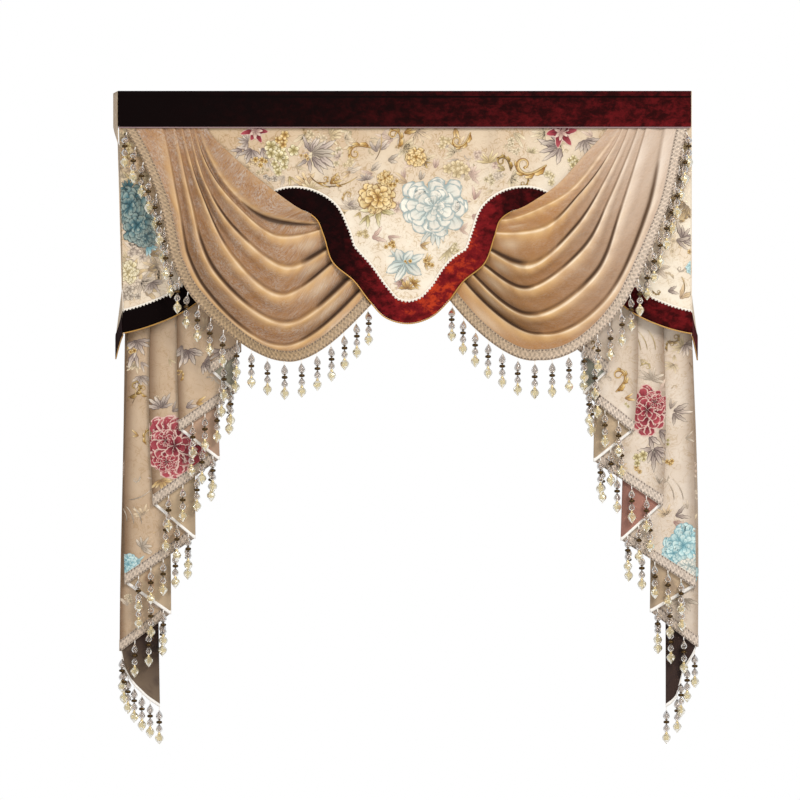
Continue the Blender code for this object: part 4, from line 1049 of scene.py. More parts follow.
# Heading, panel, border, gimp, piping and returns
HEM_STEP = 0.004
GIMP_STEP = 0.0011
GIMP_TOOTH = 0.0092
NORMAL_REACH = 0.062
RETURN_LAP = 0.0035
GROOVE_Z = -0.0157
RETURN_COLUMNS = 28
RETURN_ROWS = 48
HEADER_COLUMNS = 260
WELT_POINTS = 700
PANEL_ROWS = 20
# Painted light on the border along x, on the shield and beside it: darkest on the left, brightest on the
# shield right of the middle
SHIELD_PAINTED_LIGHT = ((-0.24, -0.16, -0.10, 0.0, 0.10, 0.17, 0.24), (0.04, 0.10, 0.32, 0.66, 1.0, 0.75, 0.42))
SIDE_PAINTED_LIGHT = ((-0.75, -0.60, 0.60, 0.75), (0.0, 0.0, 0.25, 0.33))


def panel_hem_line(step):
    """Panel hem at even steps with its unit normals, which point up into the panel."""
    knots = lengths_along(PANEL_HEM)
    fine = curve_through(PANEL_HEM, knots, np.linspace(0.0, knots[-1], 1200))
    length = lengths_along(fine)[-1]
    hem = points_at(fine, np.linspace(0.0, length, round(length / step)))
    tangent = np.gradient(hem, axis=0)
    tangent /= np.linalg.norm(tangent, axis=1)[:, None]
    spread = round(NORMAL_REACH / step / 2)
    kernel = np.full(2 * spread + 1, 1 / (2 * spread + 1))
    padded = np.pad(tangent, ((spread, spread), (0, 0)), mode="edge")
    tangent = np.stack([np.convolve(padded[:, k], kernel, mode="valid") for k in range(2)], axis=-1)
    tangent /= np.linalg.norm(tangent, axis=1)[:, None]
    return hem, np.column_stack((-tangent[:, 1], tangent[:, 0]))


def border_width(hem):
    """Width of the border along the hem: it widens a little at each shoulder of the shield."""
    x = hem[:, 0]
    left = 0.012 * np.exp(-(((x + 0.185) / 0.045) ** 2))
    return BORDER_WIDTH + left + 0.006 * np.exp(-(((x - 0.175) / 0.045) ** 2))


def flat_strip(lines, y):
    """Grid of a flat strip through lines of the same number of (x, z) points, lowest first, at one depth."""
    lines = np.stack(lines)
    return np.stack((lines[..., 0], np.broadcast_to(y, lines.shape[:2]), lines[..., 1]), axis=-1)


def hem_offset(hem, normal, distance):
    """Line at a distance inside the panel's hem, within its side edges but for ends that lap the returns."""
    line = hem + normal * np.broadcast_to(distance, len(hem))[:, None]
    line[:, 0] = np.clip(line[:, 0], hem[0, 0], hem[-1, 0])
    line[[0, -1], 0] = hem[0, 0] - RETURN_LAP, hem[-1, 0] + RETURN_LAP
    return line


def make_header():
    """Heading band: a profile up the front, over the top and down the back, with a stitched groove."""
    corner = np.linspace(0.0, np.pi / 2, 5)
    turn = 0.002
    front = np.concatenate((np.linspace(-HEADER_DROP, -0.03, 26), np.linspace(-0.028, -turn, 22)))
    profile = np.concatenate((
        np.column_stack((np.full(len(front), HEADER_FRONT_Y), front)),
        np.column_stack((HEADER_FRONT_Y + turn * (1 - np.cos(corner)), turn * (np.sin(corner) - 1))),
        np.column_stack((HEADER_BACK_Y - turn * (1 - np.sin(corner)), turn * (np.cos(corner) - 1))),
        np.column_stack((np.full(10, HEADER_BACK_Y), np.linspace(-turn, -HEADER_BACK_DROP, 10))),
    ))
    x = np.linspace(-HALF_WIDTH, HALF_WIDTH, HEADER_COLUMNS)
    grid = np.zeros((len(profile), len(x), 3))
    grid[..., 0] = x
    grid[..., 1] = profile[:, :1]
    grid[..., 2] = profile[:, 1:]
    at_front = grid[..., 1] < HEADER_FRONT_Y + 0.0001
    groove = 0.0011 * np.exp(-(((grid[..., 2] - GROOVE_Z) / 0.0016) ** 2))
    pillow = 0.0006 * ripple(grid[..., 0], grid[..., 2], ((1.3, 4.0), (5.1, 7.0), (9.7, 17.0)), 3)
    grid[..., 1] += np.where(at_front, groove + np.clip(pillow, -0.0006, 0.0006), 0.0)
    # painted light: the heading is darker on the left and brighter towards the right and its lower edge, with
    # painted shade in the stitched groove
    share = (grid[..., 0] + HALF_WIDTH) / (2 * HALF_WIDTH)
    painted_light = np.interp(share, (0.0, 0.15, 0.40, 0.62, 1.0), (0.0, 0.03, 0.10, 0.20, 0.30))
    painted_light = painted_light * (0.75 + 0.35 * np.clip(-grid[..., 2] / HEADER_DROP, 0, 1)) - 300 * groove * 0.8
    band = add_cloth("header_band_cloth", grid, VELVET, VELVET, 0.002, {"painted_light": np.clip(painted_light, 0.0, 1.0)})
    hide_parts("header_band")
    x = np.linspace(-HALF_WIDTH, HALF_WIDTH, WELT_POINTS)
    y = np.full(len(x), HEADER_FRONT_Y + 0.0004)
    route = np.column_stack((x, y, np.full(len(x), -HEADER_DROP - 0.0019)))
    welt = add_tube("header_welt", route, WELT_RADIUS, WELT, twist=0.08)
    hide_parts("header_piping")
    declare(grid)


def add_border(hem, normal):
    """Velvet border: lines at even shares of its width; its painted light grows along the shield towards the
    right.
    """
    grid = flat_strip([hem_offset(hem, normal, border_width(hem) * k / 12) for k in range(13)], BORDER_Y)
    x, z = grid[..., 0], grid[..., 2]
    # painted light, made uneven by the patches
    shield = np.clip((0.27 - np.abs(x)) / 0.04, 0.0, 1.0)
    shield_painted_light = np.interp(x, *SHIELD_PAINTED_LIGHT)
    side_painted_light = np.interp(x, *SIDE_PAINTED_LIGHT)
    painted_light = side_painted_light + (shield_painted_light - side_painted_light) * shield
    patches = ripple(x, z, ((3.0, 5.0), (9.0, 4.0), (16.0, 21.0)), 5)
    painted_light = {"painted_light": np.clip(painted_light * (1 + 0.3 * patches), 0, 1)}
    border = add_cloth("border_velvet", grid, VELVET, VELVET, 0.0012, painted_light)
    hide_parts("border")
    return border


def add_gimp():
    """Scalloped gimp: its teeth, depth * |sin(pi * length / GIMP_TOOTH)|, bite into the border."""
    hem, normal = panel_hem_line(GIMP_STEP)
    width = border_width(hem)
    along = lengths_along(hem_offset(hem, normal, width))
    teeth = -0.0004 - 0.0046 * np.abs(np.sin(np.pi * along / GIMP_TOOTH))
    grid = flat_strip([hem_offset(hem, normal, width + offset) for offset in (teeth, 0.0008, 0.0026)], GIMP_Y)
    grid[1, :, 1] -= 0.0006
    gimp = add_cloth("gimp_trim", grid, GIMP, GIMP, 0.0010)
    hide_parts("gimp")
    return gimp


def add_panel_flowers(hem, top):
    """Woven flowers of the panel: on its face, clear of the border and within its side edges."""
    fill = sum((tonal_fill(*row) for row in PANEL_FILLS), ())
    rows = enumerate(fill + PANEL_MOTIFS)
    parts = [part for number, row in rows for part in weave_motif(number, *row, number < len(fill))]
    woven = join_parts(parts)
    keep = (woven["z"] > np.interp(woven["x"], hem[:, 0], hem[:, 1]) + 0.030).all(axis=(1, 2))
    woven = {key: value[keep] for key, value in woven.items()}
    left = np.interp(woven["z"], (hem[0, 1], 0.0), (hem[0, 0], top[0, 0])) + 0.001
    x = np.clip(woven["x"], left, hem[-1, 0] - 0.001)
    points = np.stack((x, PANEL_Y - 0.00025 - woven["lift"], woven["z"]), axis=-1)
    return add_petals("panel_flowers", woven, points)


def make_panel():
    """Flat shaped front panel with its woven flowers, velvet border, scalloped gimp and piped hem."""
    hem, normal = panel_hem_line(HEM_STEP)
    slant = SIDE_SLANT * np.clip((SLANT_START - hem[:, 0]) / (SLANT_START - hem[0, 0]), 0.0, 1.0)
    top = np.column_stack((hem[:, 0] - slant, np.full(len(hem), -0.0025)))
    share = np.linspace(0.0, 1.0, PANEL_ROWS)[:, None, None]
    grid = flat_strip(hem + (top - hem) * share, PANEL_Y)
    # painted shade: the ground is warmer and darker towards the left and towards the top
    warm = np.interp(grid[..., 0], (-0.75, -0.62, -0.45, 0.30), (0.9, 0.75, 0.35, 0.10))
    warm = warm + 0.60 * np.interp(grid[..., 2], (-0.50, -0.10), (-1.0, 1.0))
    fields = {"warm": np.clip(warm, 0, 1), "painted_shade": warm * 0}
    panel = add_cloth("panel_cloth", grid, GROUND, LINING, 0.002, fields)
    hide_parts("panel")
    border, gimp = add_border(hem, normal), add_gimp()
    fine, fine_normal = panel_hem_line(0.002)
    edge = hem_offset(fine, fine_normal, -PIPING_RADIUS - 0.0002)
    route = np.insert(edge, 1, BORDER_Y + PIPING_RADIUS / 2, axis=1)
    piping = add_tube("hem_piping", route, PIPING_RADIUS, PIPING, twist=0.18)
    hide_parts("border_piping")
    flowers = add_panel_flowers(hem, top)
    declare(grid)


def return_grid(row, levels, aside, columns):
    """Grid on a side return: its rows are levels, 0 at its sloping hem and 1 at its top."""
    side, top_x, hem_x, front_z, rear_z, flare_top, flare_middle, flare_hem = row
    share = np.linspace(0.0, 1.0, columns)
    depth = PANEL_Y + (RETURN_REAR_Y - PANEL_Y) * share
    hem_z = front_z + (rear_z - front_z) * share**1.3
    z = hem_z + (-0.0005 - hem_z) * np.asarray(levels)[:, None]
    height = np.clip((z + HEADER_DROP) / (front_z + HEADER_DROP), 0.0, 1.0)
    edge_x = top_x + (hem_x - top_x) * height
    flare = np.interp(height, RETURN_FLARE_AT, (flare_top, flare_middle, flare_middle, flare_hem))
    x = edge_x + side * (aside + flare * share)
    return np.stack((x, np.broadcast_to(depth, x.shape), z), axis=-1)


def facing_out(grid, side):
    """The same grid with its rows from the top on the left and from the hem on the right."""
    return grid[::-1] if side < 0 else grid


def make_return(name, row):
    """One side return, its border and the piping on its hem."""
    side = row[0]
    cloth = facing_out(return_grid(row, np.linspace(0.0, 1.0, RETURN_ROWS), 0.0023, RETURN_COLUMNS), side)
    # painted shade: the left return's ground is warmer and darker than the right one's, and darkened further
    # in proportion
    warm = np.full(cloth.shape[:2], 0.6 if side < 0 else 0.15)
    fields = {"warm": warm, "painted_shade": warm * 0.3}
    body = add_cloth(f"return_cloth_{name}", cloth, GROUND, LINING, 0.002, fields)
    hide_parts(f"return_{name}")
    levels = np.linspace(0.0, BORDER_WIDTH / -row[3], 8)
    strip = facing_out(return_grid(row, levels, 0.0038, RETURN_COLUMNS), side)
    # painted light: the right return's border is brighter than the left one's
    painted_light = np.full(strip.shape[:2], 0.08 if side < 0 else 0.3)
    border = add_cloth(f"return_velvet_{name}", strip, VELVET, VELVET, 0.0012, {"painted_light": painted_light})
    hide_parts(f"return_border_{name}")
    line = return_grid(row, (0.0,), 0.0026, 60)[0] - (0.0, 0.0, PIPING_RADIUS)
    piping = add_tube(f"return_cord_{name}", line, PIPING_RADIUS, PIPING, twist=0.18)
    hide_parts(f"return_piping_{name}")
    declare(cloth)


# Pockets of the swags, where a roll hangs over the cloth below it, deepened and darkened with painted shadow,
# in the columns of the creases
POCKETS = {
    "left": (
        # from_at, from_row, to_at, to_row, depth, width
        (0.56, 1.16, 1.04, 1.16, 0.0060, 0.16),
        (0.30, 2.90, 0.58, 2.88, 0.0036, 0.08),
        (0.34, 4.88, 0.64, 4.86, 0.0036, 0.08),
        (0.30, 5.88, 0.66, 5.86, 0.0040, 0.10),
        (0.16, 3.90, 0.46, 3.88, 0.0024, 0.06),
        (0.10, 1.90, 0.40, 1.88, 0.0020, 0.05),
        (0.84, 2.86, 1.06, 2.86, 0.0034, 0.13),
        (0.84, 3.86, 1.06, 3.84, 0.0034, 0.13),
        (0.86, 4.84, 1.06, 4.82, 0.0034, 0.13),
        (0.80, 5.84, 1.06, 5.82, 0.0036, 0.13),
    ),
    "right": (
        (0.20, 1.88, 0.70, 1.90, 0.0030, 0.09),
        (0.30, 2.88, 0.62, 2.88, 0.0026, 0.07),
        (0.24, 4.88, 0.58, 4.88, 0.0034, 0.07),
        (0.12, 5.90, 0.46, 5.88, 0.0034, 0.06),
        (0.30, 3.88, 0.60, 3.88, 0.0028, 0.07),
        (0.78, 2.88, 1.06, 2.88, 0.0032, 0.10),
        (0.72, 3.88, 1.06, 3.88, 0.0034, 0.11),
        (0.72, 4.86, 1.06, 4.86, 0.0036, 0.12),
        (0.74, 5.84, 1.06, 5.82, 0.0040, 0.14),
    ),
}

# Creases of the swags: place along the swag and row (crest number plus share) at both
# ends, depth in metres and width in rows
CREASES = {
    "left": (
        # from_at, from_row, to_at, to_row, depth, width
        (0.05, 1.30, 0.42, 1.75, 0.0022, 0.10),
        (0.10, 2.45, 0.55, 2.30, 0.0025, 0.10),
        (0.30, 3.60, 0.80, 3.35, 0.0028, 0.09),
        (0.02, 3.20, 0.30, 3.55, 0.0025, 0.10),
        (0.55, 2.55, 0.92, 2.25, 0.0022, 0.09),
        (0.04, 4.45, 0.38, 4.20, 0.0030, 0.10),
        (0.45, 4.40, 0.85, 4.55, 0.0026, 0.10),
        (0.06, 5.35, 0.45, 5.60, 0.0030, 0.10),
        (0.50, 5.30, 0.95, 5.20, 0.0024, 0.09),
        (0.10, 6.30, 0.40, 6.42, 0.0020, 0.08),
        (0.60, 6.40, 0.90, 6.25, 0.0018, 0.07),
        (0.40, 0.40, 0.75, 0.65, 0.0014, 0.10),
    ),
    "right": (
        (0.06, 1.50, 0.45, 1.30, 0.0020, 0.10),
        (0.15, 2.30, 0.60, 2.50, 0.0026, 0.10),
        (0.04, 3.50, 0.35, 3.30, 0.0028, 0.10),
        (0.40, 3.30, 0.85, 3.55, 0.0026, 0.09),
        (0.08, 4.30, 0.50, 4.55, 0.0030, 0.10),
        (0.55, 4.55, 0.92, 4.30, 0.0024, 0.09),
        (0.05, 5.55, 0.40, 5.30, 0.0030, 0.10),
        (0.48, 5.25, 0.90, 5.50, 0.0026, 0.10),
        (0.08, 6.35, 0.35, 6.30, 0.0022, 0.08),
        (0.42, 6.40, 0.80, 6.35, 0.0018, 0.07),
        (0.30, 0.55, 0.70, 0.40, 0.0012, 0.10),
    ),
}
# Bellies of the swags' lower lines: between which places, how far aside and how far up
BELLIES = {
    "left": (
        # first_at, last_at, aside, up
        (0.0, 0.38, 0.019, 0.0),
        (0.25, 0.50, 0.0, -0.004),
        (0.75, 1.0, 0.0, -0.010),
    ),
    "right": (
        (0.0, 0.25, -0.004, 0.0),
        (0.75, 1.0, 0.0, -0.020),
    ),
}
SWAG_STYLES = {
    # pale, as painted light, at the heading, at the end, and where it has died out; silver at the heading, at
    # the end; painted dark lines;
    # painted shade on the two uppermost folds; painted shine; how brown the braid is, as painted shade, at
    # the places of BRAID_AT
    "left": (0.10, 0.06, 0.5, 1.0, 0.75, 0.24, 0.13, 0.45, (0.85, 1.0, 1.0, 0.9)),
    "right": (1.0, 0.0, 0.58, 0.60, 0.12, 0.40, 0.0, 1.0, (0.95, 0.75, 0.50, 0.35)),
}
BRAID_AT = (0.10, 0.30, 0.45, 0.60)


def crest_lines(side, table, at):
    """Crest lines of a swag at the given places along it: array of lines, places, (x, y, z)."""
    lines = []
    for values in table:
        row = dict(zip(SWAG_FIELDS, values))
        low = np.array((row["low_x"], SWAG_HEAD_Y - row["low_out"], row["low_z"]))
        end = np.array((row["end_x"], SWAG_END_Y, row["end_z"]))
        onward = (end - low) * (1.0, 0.0, 1.0)
        onward /= np.linalg.norm(onward)
        onward = onward / 2 + np.array((0.5 * np.sign(onward[0]), 0.0, 0.4))
        tuck = end + onward / np.linalg.norm(onward) * SWAG_TUCK
        tuck[1] = SWAG_TUCK_Y
        slope = SWAG_HEAD_SLOPE * (row["flank_x"] - row["top_x"]) / (row["flank_z"] + HEADER_DROP)
        knots = np.array([
            (row["top_x"] + slope * (SWAG_HEAD_Z + HEADER_DROP), SWAG_HEAD_Y, SWAG_HEAD_Z),
            (row["top_x"], SWAG_HEAD_Y, -HEADER_DROP),
            (row["flank_x"], SWAG_HEAD_Y - row["flank_out"], row["flank_z"]),
            (row["side_x"], SWAG_HEAD_Y - row["side_out"], row["side_z"]),
            low,
            end,
            tuck,
        ])
        lines.append(curve_through(knots, SWAG_STATIONS, at))
    lines = np.array(lines)
    for first, last, aside, up in BELLIES[side]:
        belly = np.sin(np.pi * np.clip((at - first) / (last - first), 0, 1))
        lines[-3:, :, 0] += np.outer((0.3, 0.7, 1.0), belly * aside)
        lines[-3:, :, 2] += np.outer((0.3, 0.7, 1.0), belly * up)
    dive = np.clip((at - SWAG_STATIONS[4]) / (SWAG_STATIONS[5] - SWAG_STATIONS[4]), 0, 1)
    late = np.clip((dive - 0.76) / 0.24, 0, 1)
    low_y = SWAG_HEAD_Y - table[0][SWAG_FIELDS.index("low_out")]
    under = low_y + (SWAG_END_Y - low_y) * late**2 * (3 - 2 * late)
    lines[0, :, 1] = np.where((dive > 0) & (dive < 1), under, lines[0, :, 1])
    lines[0, :, 2] += 0.010 * dive**2 * (3 - 2 * dive)
    return lines


def troughs(table, rows, at, power):
    """Depth and profile of each trough: exp(-(rows off its line / width) ** 2), fading out at both ends."""
    found = []
    for from_at, from_row, to_at, to_row, depth, width in table:
        s = (at - from_at) / (to_at - from_at)
        off = rows - (from_row + (to_row - from_row) * s)
        found.append((depth, np.sin(np.pi * np.clip(s, 0, 1)) ** power * np.exp(-((off / width) ** 2))))
    return found


def swag_surface(side, table, rows, at):
    """Points of a swag at rows (crest number plus share) and places along it, and what shapes its tones.

    A row lies between two crest lines; its depth falls slowly to a valley at VALLEY_AT of the way
    and rises quickly to the next crest.  Creases are narrow troughs along straight lines in
    (place, row), deepest in their middle.
    """
    lines = crest_lines(side, table, at)
    index = np.clip(np.floor(rows).astype(int), 0, len(table) - 2)
    share = rows - index
    fold = np.array([row[-1] for row in table])[index]
    deeper = 1 + (FOLD_DEEPER - 1) * np.clip((at - 0.08) * 5, 0, 1)
    fall = 0.5 - 0.5 * np.cos(np.pi * np.clip(share / VALLEY_AT, 0.0, 1.0))
    rise = 0.5 + 0.5 * np.cos(np.pi * np.clip((share - VALLEY_AT) / (1.0 - VALLEY_AT), 0.0, 1.0))
    valley = np.where(share < VALLEY_AT, fall, rise)
    amount = np.interp(at, SWAG_STATIONS, FOLD_SHARE)
    column = np.broadcast_to(np.arange(len(at)), index.shape)
    grid = lines[index, column] + (lines[index + 1, column] - lines[index, column]) * share[..., None]
    wander = ripple(at[None, :] * 2, rows, ((2.0, 0.9), (5.0, 0.6), (9.0, 2.1)), 11 if side == "left" else 12)
    soft = np.clip(at * 8, 0, 1) * np.clip((1.0 - at) * 8, 0, 1) * np.clip(rows[:, :1], 0, 1)
    pockets = troughs(POCKETS[side], rows, at, 0.5)
    crease = sum(depth * trough for depth, trough in troughs(CREASES[side], rows, at, 0.7))
    pocket = sum(depth * trough for depth, trough in pockets)
    grid[..., 1] += fold * amount * deeper * valley + 0.0012 * wander * soft + pocket + crease
    # painted shadow in the pockets under the overhanging rolls
    painted_deep_shade = sum(trough for _, trough in pockets)
    return grid, {"share": share, "fold": fold, "wander": wander, "crease": crease, "painted_deep_shade": painted_deep_shade}


def swag_tones(side, rows, at, last, share, fold, wander, crease, painted_deep_shade):
    """Fields of a swag's pile, each 0 to 1: painted highlights on crests, painted shade in valleys and along
    lines, pale as painted light, silver, and a painted shine.
    """
    pale_head, pale_end, pale_fades, silver_head, silver_end, lined, shaded_top, painted_highlight_strength, _ = SWAG_STYLES[side]
    # painted highlight along each crest, uneven and weaker at the heading and at the swag's edges
    above = np.where(share > 0.5, (1 - share) * 1.25, share * 0.9)
    broken = 0.80 + 0.35 * ripple(at[None, :] * 3, rows * 0.4, ((1.7, 0.5), (4.1, 1.1)), 21)
    crest = np.exp(-((above / 0.22) ** 2)) * np.clip(broken, 0.2, 1.0) * np.clip(at * 6, 0.15, 1)
    crest = np.where((rows < 0.5) | (rows > last + 0.4), 0.4 * crest, crest)
    full = np.clip(fold / 0.016, 0, 1)
    # painted shade: darker below each crest towards the next, in the creases and near the heading
    below = np.clip(share / 0.80, 0, 1) ** 1.6 * np.clip((1.0 - share) / 0.16, 0, 1) ** 0.8
    dark = below * np.maximum(full, 0.15) * np.clip(0.45 + at * 1.2, 0, 1) + 60 * crease
    dark = dark + 0.3 * np.clip(1 - at / 0.5, 0, 1)
    # painted dark line just above each crest, and painted shade on the two uppermost folds
    line = np.exp(-(((share - 0.85) / 0.05) ** 2)) * full
    painted_deep_shade = painted_deep_shade + (lined + 0.25 * wander) * line * np.clip(at * 5, 0.3, 1)
    painted_deep_shade = np.clip(painted_deep_shade + shaded_top * np.clip(2.2 - rows, 0, 1), 0, 0.95)
    # painted light: paler towards the heading, more on the lower folds
    low = 0.45 + 0.55 * np.clip(rows / (last + 1), 0, 1)
    pale = pale_end + (pale_head - pale_end) * np.clip(1.2 - at / pale_fades, 0, 1) * low + 0.08 * wander
    silver = (silver_head + (silver_end - silver_head) * at) * np.clip(1.25 - 1.6 * crest, 0, 1)
    # painted highlight: a thin bright line at each crest and a painted sheen near the shield's end
    painted_highlight = np.exp(-(((share - 0.965) / 0.030) ** 2)) + 0.8 * np.exp(-((share / 0.04) ** 2))
    painted_sheen = np.exp(-(((at - 0.90) / 0.05) ** 2)) * np.exp(-(((share - 0.42) / 0.20) ** 2)) * (rows > 1.5)
    painted_highlight = painted_highlight * np.clip(broken, 0.2, 1) * np.clip(at * 2.2, 0.1, 1) * painted_highlight_strength
    painted_highlight = painted_highlight * (rows > 0.5) * np.clip(fold / 0.01, 0, 1) + 0.42 * painted_sheen
    tones = {"valley": dark, "crest": crest * (1 - painted_deep_shade), "pale": pale, "silver": silver,
             "painted_deep_shade": painted_deep_shade, "painted_highlight": painted_highlight * (1 - painted_deep_shade)}
    return {key: np.clip(value, 0, 1) for key, value in tones.items()}


def bead_profile(start, length, radius, power=0.5, steps=9):
    """Rings of a bead: half width = radius * sin(pi * share ** 1.25) ** power, share from 0 to 1 down it."""
    share = np.linspace(0.0, 1.0, steps)
    half = radius * np.clip(np.sin(np.pi * share**1.25), 0.02, 1.0) ** power
    return np.column_stack((start + length * share, half))


# Parts of one bead strand, from its root down: rings of (drop, half width) in metres, sides, material
STRAND_PARTS = (
    (np.array(((0.0, 0.0006), (0.0, 0.0015), (0.0075, 0.0011), (0.0085, 0.0004))), 8, 0),
    (bead_profile(0.0065, 0.0268, 0.0091, 0.85), 16, 1),
    (np.array(((0.0328, 0.001), (0.0336, 0.0050), (0.0352, 0.0074), (0.0374, 0.0079), (0.0396, 0.0074),
               (0.0412, 0.0050), (0.0420, 0.001))), 16, 2),
    (bead_profile(0.0416, 0.0246, 0.0088, 0.8), 16, 1),
    (np.array(((0.0655, 0.001), (0.0665, 0.0042), (0.0690, 0.0042), (0.0700, 0.001))), 12, 3),
    (np.array(((0.0690, 0.001), (0.0698, 0.0058), (0.0750, 0.0104), (0.0800, 0.0118), (0.0858, 0.0096),
               (0.0928, 0.0038), (0.0955, 0.0014), (0.0970, 0.0004))), 10, 4),
    (np.array(((0.0080, 0.0007), (0.0700, 0.0007))), 6, 0),
)


def add_strands(name, roots, asides, leans, seed):
    """Bead strands: each part's rings round an axis that sets off from the braid and then hangs."""
    chance = np.random.default_rng(seed)
    turns = chance.uniform(0, 2 * np.pi, len(roots))
    longer = chance.uniform(0.97, 1.0, len(roots))
    points, faces, kinds, flat = [], [], [], []
    count = 0
    for rings, sides, kind in STRAND_PARTS:
        angle = np.linspace(0, 2 * np.pi, sides, endpoint=False)
        for root, aside, lean, turn, scale in zip(roots, asides, leans, turns, longer):
            done = np.minimum(1.0, rings[:, 0] / (0.24 * STRAND_LENGTH))[:, None]
            middle = root + aside * done - lean * done * (0, 1, 0) - rings[:, :1] * scale * (0, 0, 1)
            ring = np.stack((np.cos(angle + turn), np.sin(angle + turn), np.zeros(sides)), axis=-1)
            points.append((middle[:, None, :] + rings[:, 1, None, None] * ring).reshape(-1, 3))
            quads = grid_faces(len(rings), sides, ring=True) + count
            faces.append(quads)
            kinds.append(np.full(len(quads), kind))
            flat.append(np.full(len(quads), kind != 4))
            count += len(rings) * sides
    finishes = (TAPE, CLEAR, BRONZE, GOLD, CHAMPAGNE)
    return add_surface(name, np.concatenate(points), np.concatenate(faces), finishes,
                       kinds=np.concatenate(kinds), smooth=np.concatenate(flat))


def braid_uv(grid):
    """UV of a braid: metres along its length, and 0 to 1 across it."""
    along = lengths_along(grid[0])
    across = np.linspace(0.0, 1.0, len(grid))
    return np.stack(np.broadcast_arrays(along[None, :], across[:, None]), axis=-1)


def make_swag(side, table):
    """Gathered swag, the braid along its lower edge and the bead strands hanging from it."""
    at = np.concatenate((np.linspace(SWAG_STATIONS[0], 0.0, 5)[:-1], np.linspace(0.0, 1.0, SWAG_COLUMNS),
                         np.linspace(1.0, SWAG_STATIONS[-1], 8)[1:]))
    last = len(table) - 2
    lines = crest_lines(side, table, at)
    width = np.linalg.norm((lines[-1] - lines[-2])[:, (0, 2)], axis=1)
    levels = np.concatenate(((np.arange(last)[:, None] + FOLD_LEVELS).ravel(), last + np.linspace(0, 1, 15)))
    rows = np.broadcast_to(levels[:, None], (len(levels), len(at))).copy()
    beyond = rows > last
    rows[beyond] = (last + (rows - last) * (1 - 0.001 / width))[beyond]
    grid, shape = swag_surface(side, table, rows, at)
    order = slice(None, None, -1) if side == "left" else slice(None)
    fields = {key: value[order] for key, value in swag_tones(side, rows, at, last, **shape).items()}
    grid = grid[order]
    swag = add_cloth(f"swag_cloth_{side}", grid, SUEDE, SUEDE_BACK, 0.0015, fields)
    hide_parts(f"swag_{side}")

    keep = at <= 1.0 + 1e-9
    share = np.linspace(SWAG_BRAID, 0.0, 6)[:, None] / width[None, :]
    strip = swag_surface(side, table, last + 1 - share, at)[0][:, keep]
    strip[..., 1] -= 0.0012 + 0.0004 * np.sin(np.linspace(0, np.pi, 6))[:, None]
    strip = strip[order]
    # painted shade: the braid is browner on the left swag and towards the shield on the right one
    brown = np.interp(np.abs(strip[..., 0]), BRAID_AT, SWAG_STYLES[side][-1])
    braid = add_cloth(f"swag_braid_{side}", strip, BRAID, BRAID, 0.0009, {"warm": brown}, braid_uv(strip))

    outer = lines[-1][keep]
    along = lengths_along(outer)
    first = np.interp(HEADER_DROP + FIRST_STRAND_DROP, -outer[:12, 2], along[:12])
    strands = np.linspace(first, along[-1] - LAST_STRAND_INSET, SWAG_STRANDS)
    roots = points_at(outer, strands)
    steepness = np.interp(strands, along, np.abs(np.gradient(outer[:, 2], along)))
    leans = np.maximum(0.0, roots[:, 1] + 0.0185) + 0.0145 * steepness * (np.arange(SWAG_STRANDS) % 2)
    inward = (lines[-1] - lines[-2])[keep]
    inward /= np.linalg.norm(inward, axis=1)[:, None]
    asides = 0.005 * np.column_stack([np.interp(strands, along, inward[:, k]) for k in range(3)])
    beads = add_strands(f"swag_beads_{side}", roots, asides, leans, 5)
    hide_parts(f"swag_fringe_{side}")
    declare(grid)


def edge_x(edge, number, w, splay):
    """x of a fold edge: it spreads towards the hem, outer edges bow outwards, and all waver a little."""
    right = edge[..., 0] > 0
    outer = number % 2 == 1
    outermost = outer & (number >= 7)
    bow = np.where(outer, np.where(right, 0.014, 0.010), 0.002) * np.where(number >= 7, 0.5, 1.0)
    bow = bow * np.sin(np.pi * np.clip(w, 0, 1) ** 2) * np.sign(edge[..., 0])
    bow = bow + np.where(outermost & right, 0.007 * splay, 0.0)
    waver = 0.0016 * splay * np.sin(9 * w + 2.3 * number)
    return edge[..., 0] + (edge[..., 1] - edge[..., 0]) * np.clip(w, 0.0, 1.2) ** 1.5 + bow + waver


def splay_at(z):
    """How far the layers have parted at a height: 0 under the heading, 1 from the middle down."""
    s = np.clip((-z - LAYER_SPLAY_START) / LAYER_SPLAY_LENGTH, 0.0, 1.0)
    return s * s * (3 - 2 * s)


def run_share(table, q):
    """Number of the run at q, and the share of the run's flat part that is behind."""
    run = np.clip(np.floor(q).astype(int), 0, len(table) - 2)
    return run, np.clip((q - run - TURN_SHARE) / (1 - 2 * TURN_SHARE), 0.0, 1.0)


def run_place(run, share):
    """The q at a share of a run's flat part."""
    return run + TURN_SHARE + (1 - 2 * TURN_SHARE) * share


def hem_height(table, run, share):
    """Height of a tail's hem: straight along each run, but bent along the last one."""
    bent = np.interp(share, *LAST_HEM["left" if table[0, 1] < 0 else "right"])
    share = np.where(run == len(table) - 2, bent, share)
    return table[run, 2] + (table[run + 1, 2] - table[run, 2]) * share


def run_span(table, run, w, splay):
    """The x of both ends of a run's flat part, the signed radius of its turns, and the layers' pitch."""
    start_x = edge_x(table[run], run, w, splay)
    end_x = edge_x(table[run + 1], run + 1, w, splay)
    pitch = LAYER_PITCH_TOP + (LAYER_PITCH_HEM - LAYER_PITCH_TOP) * splay
    turn = np.sign(end_x - start_x) * pitch / 2
    return start_x + turn * (run > 0), end_x - turn * (run < len(table) - 2), turn, pitch


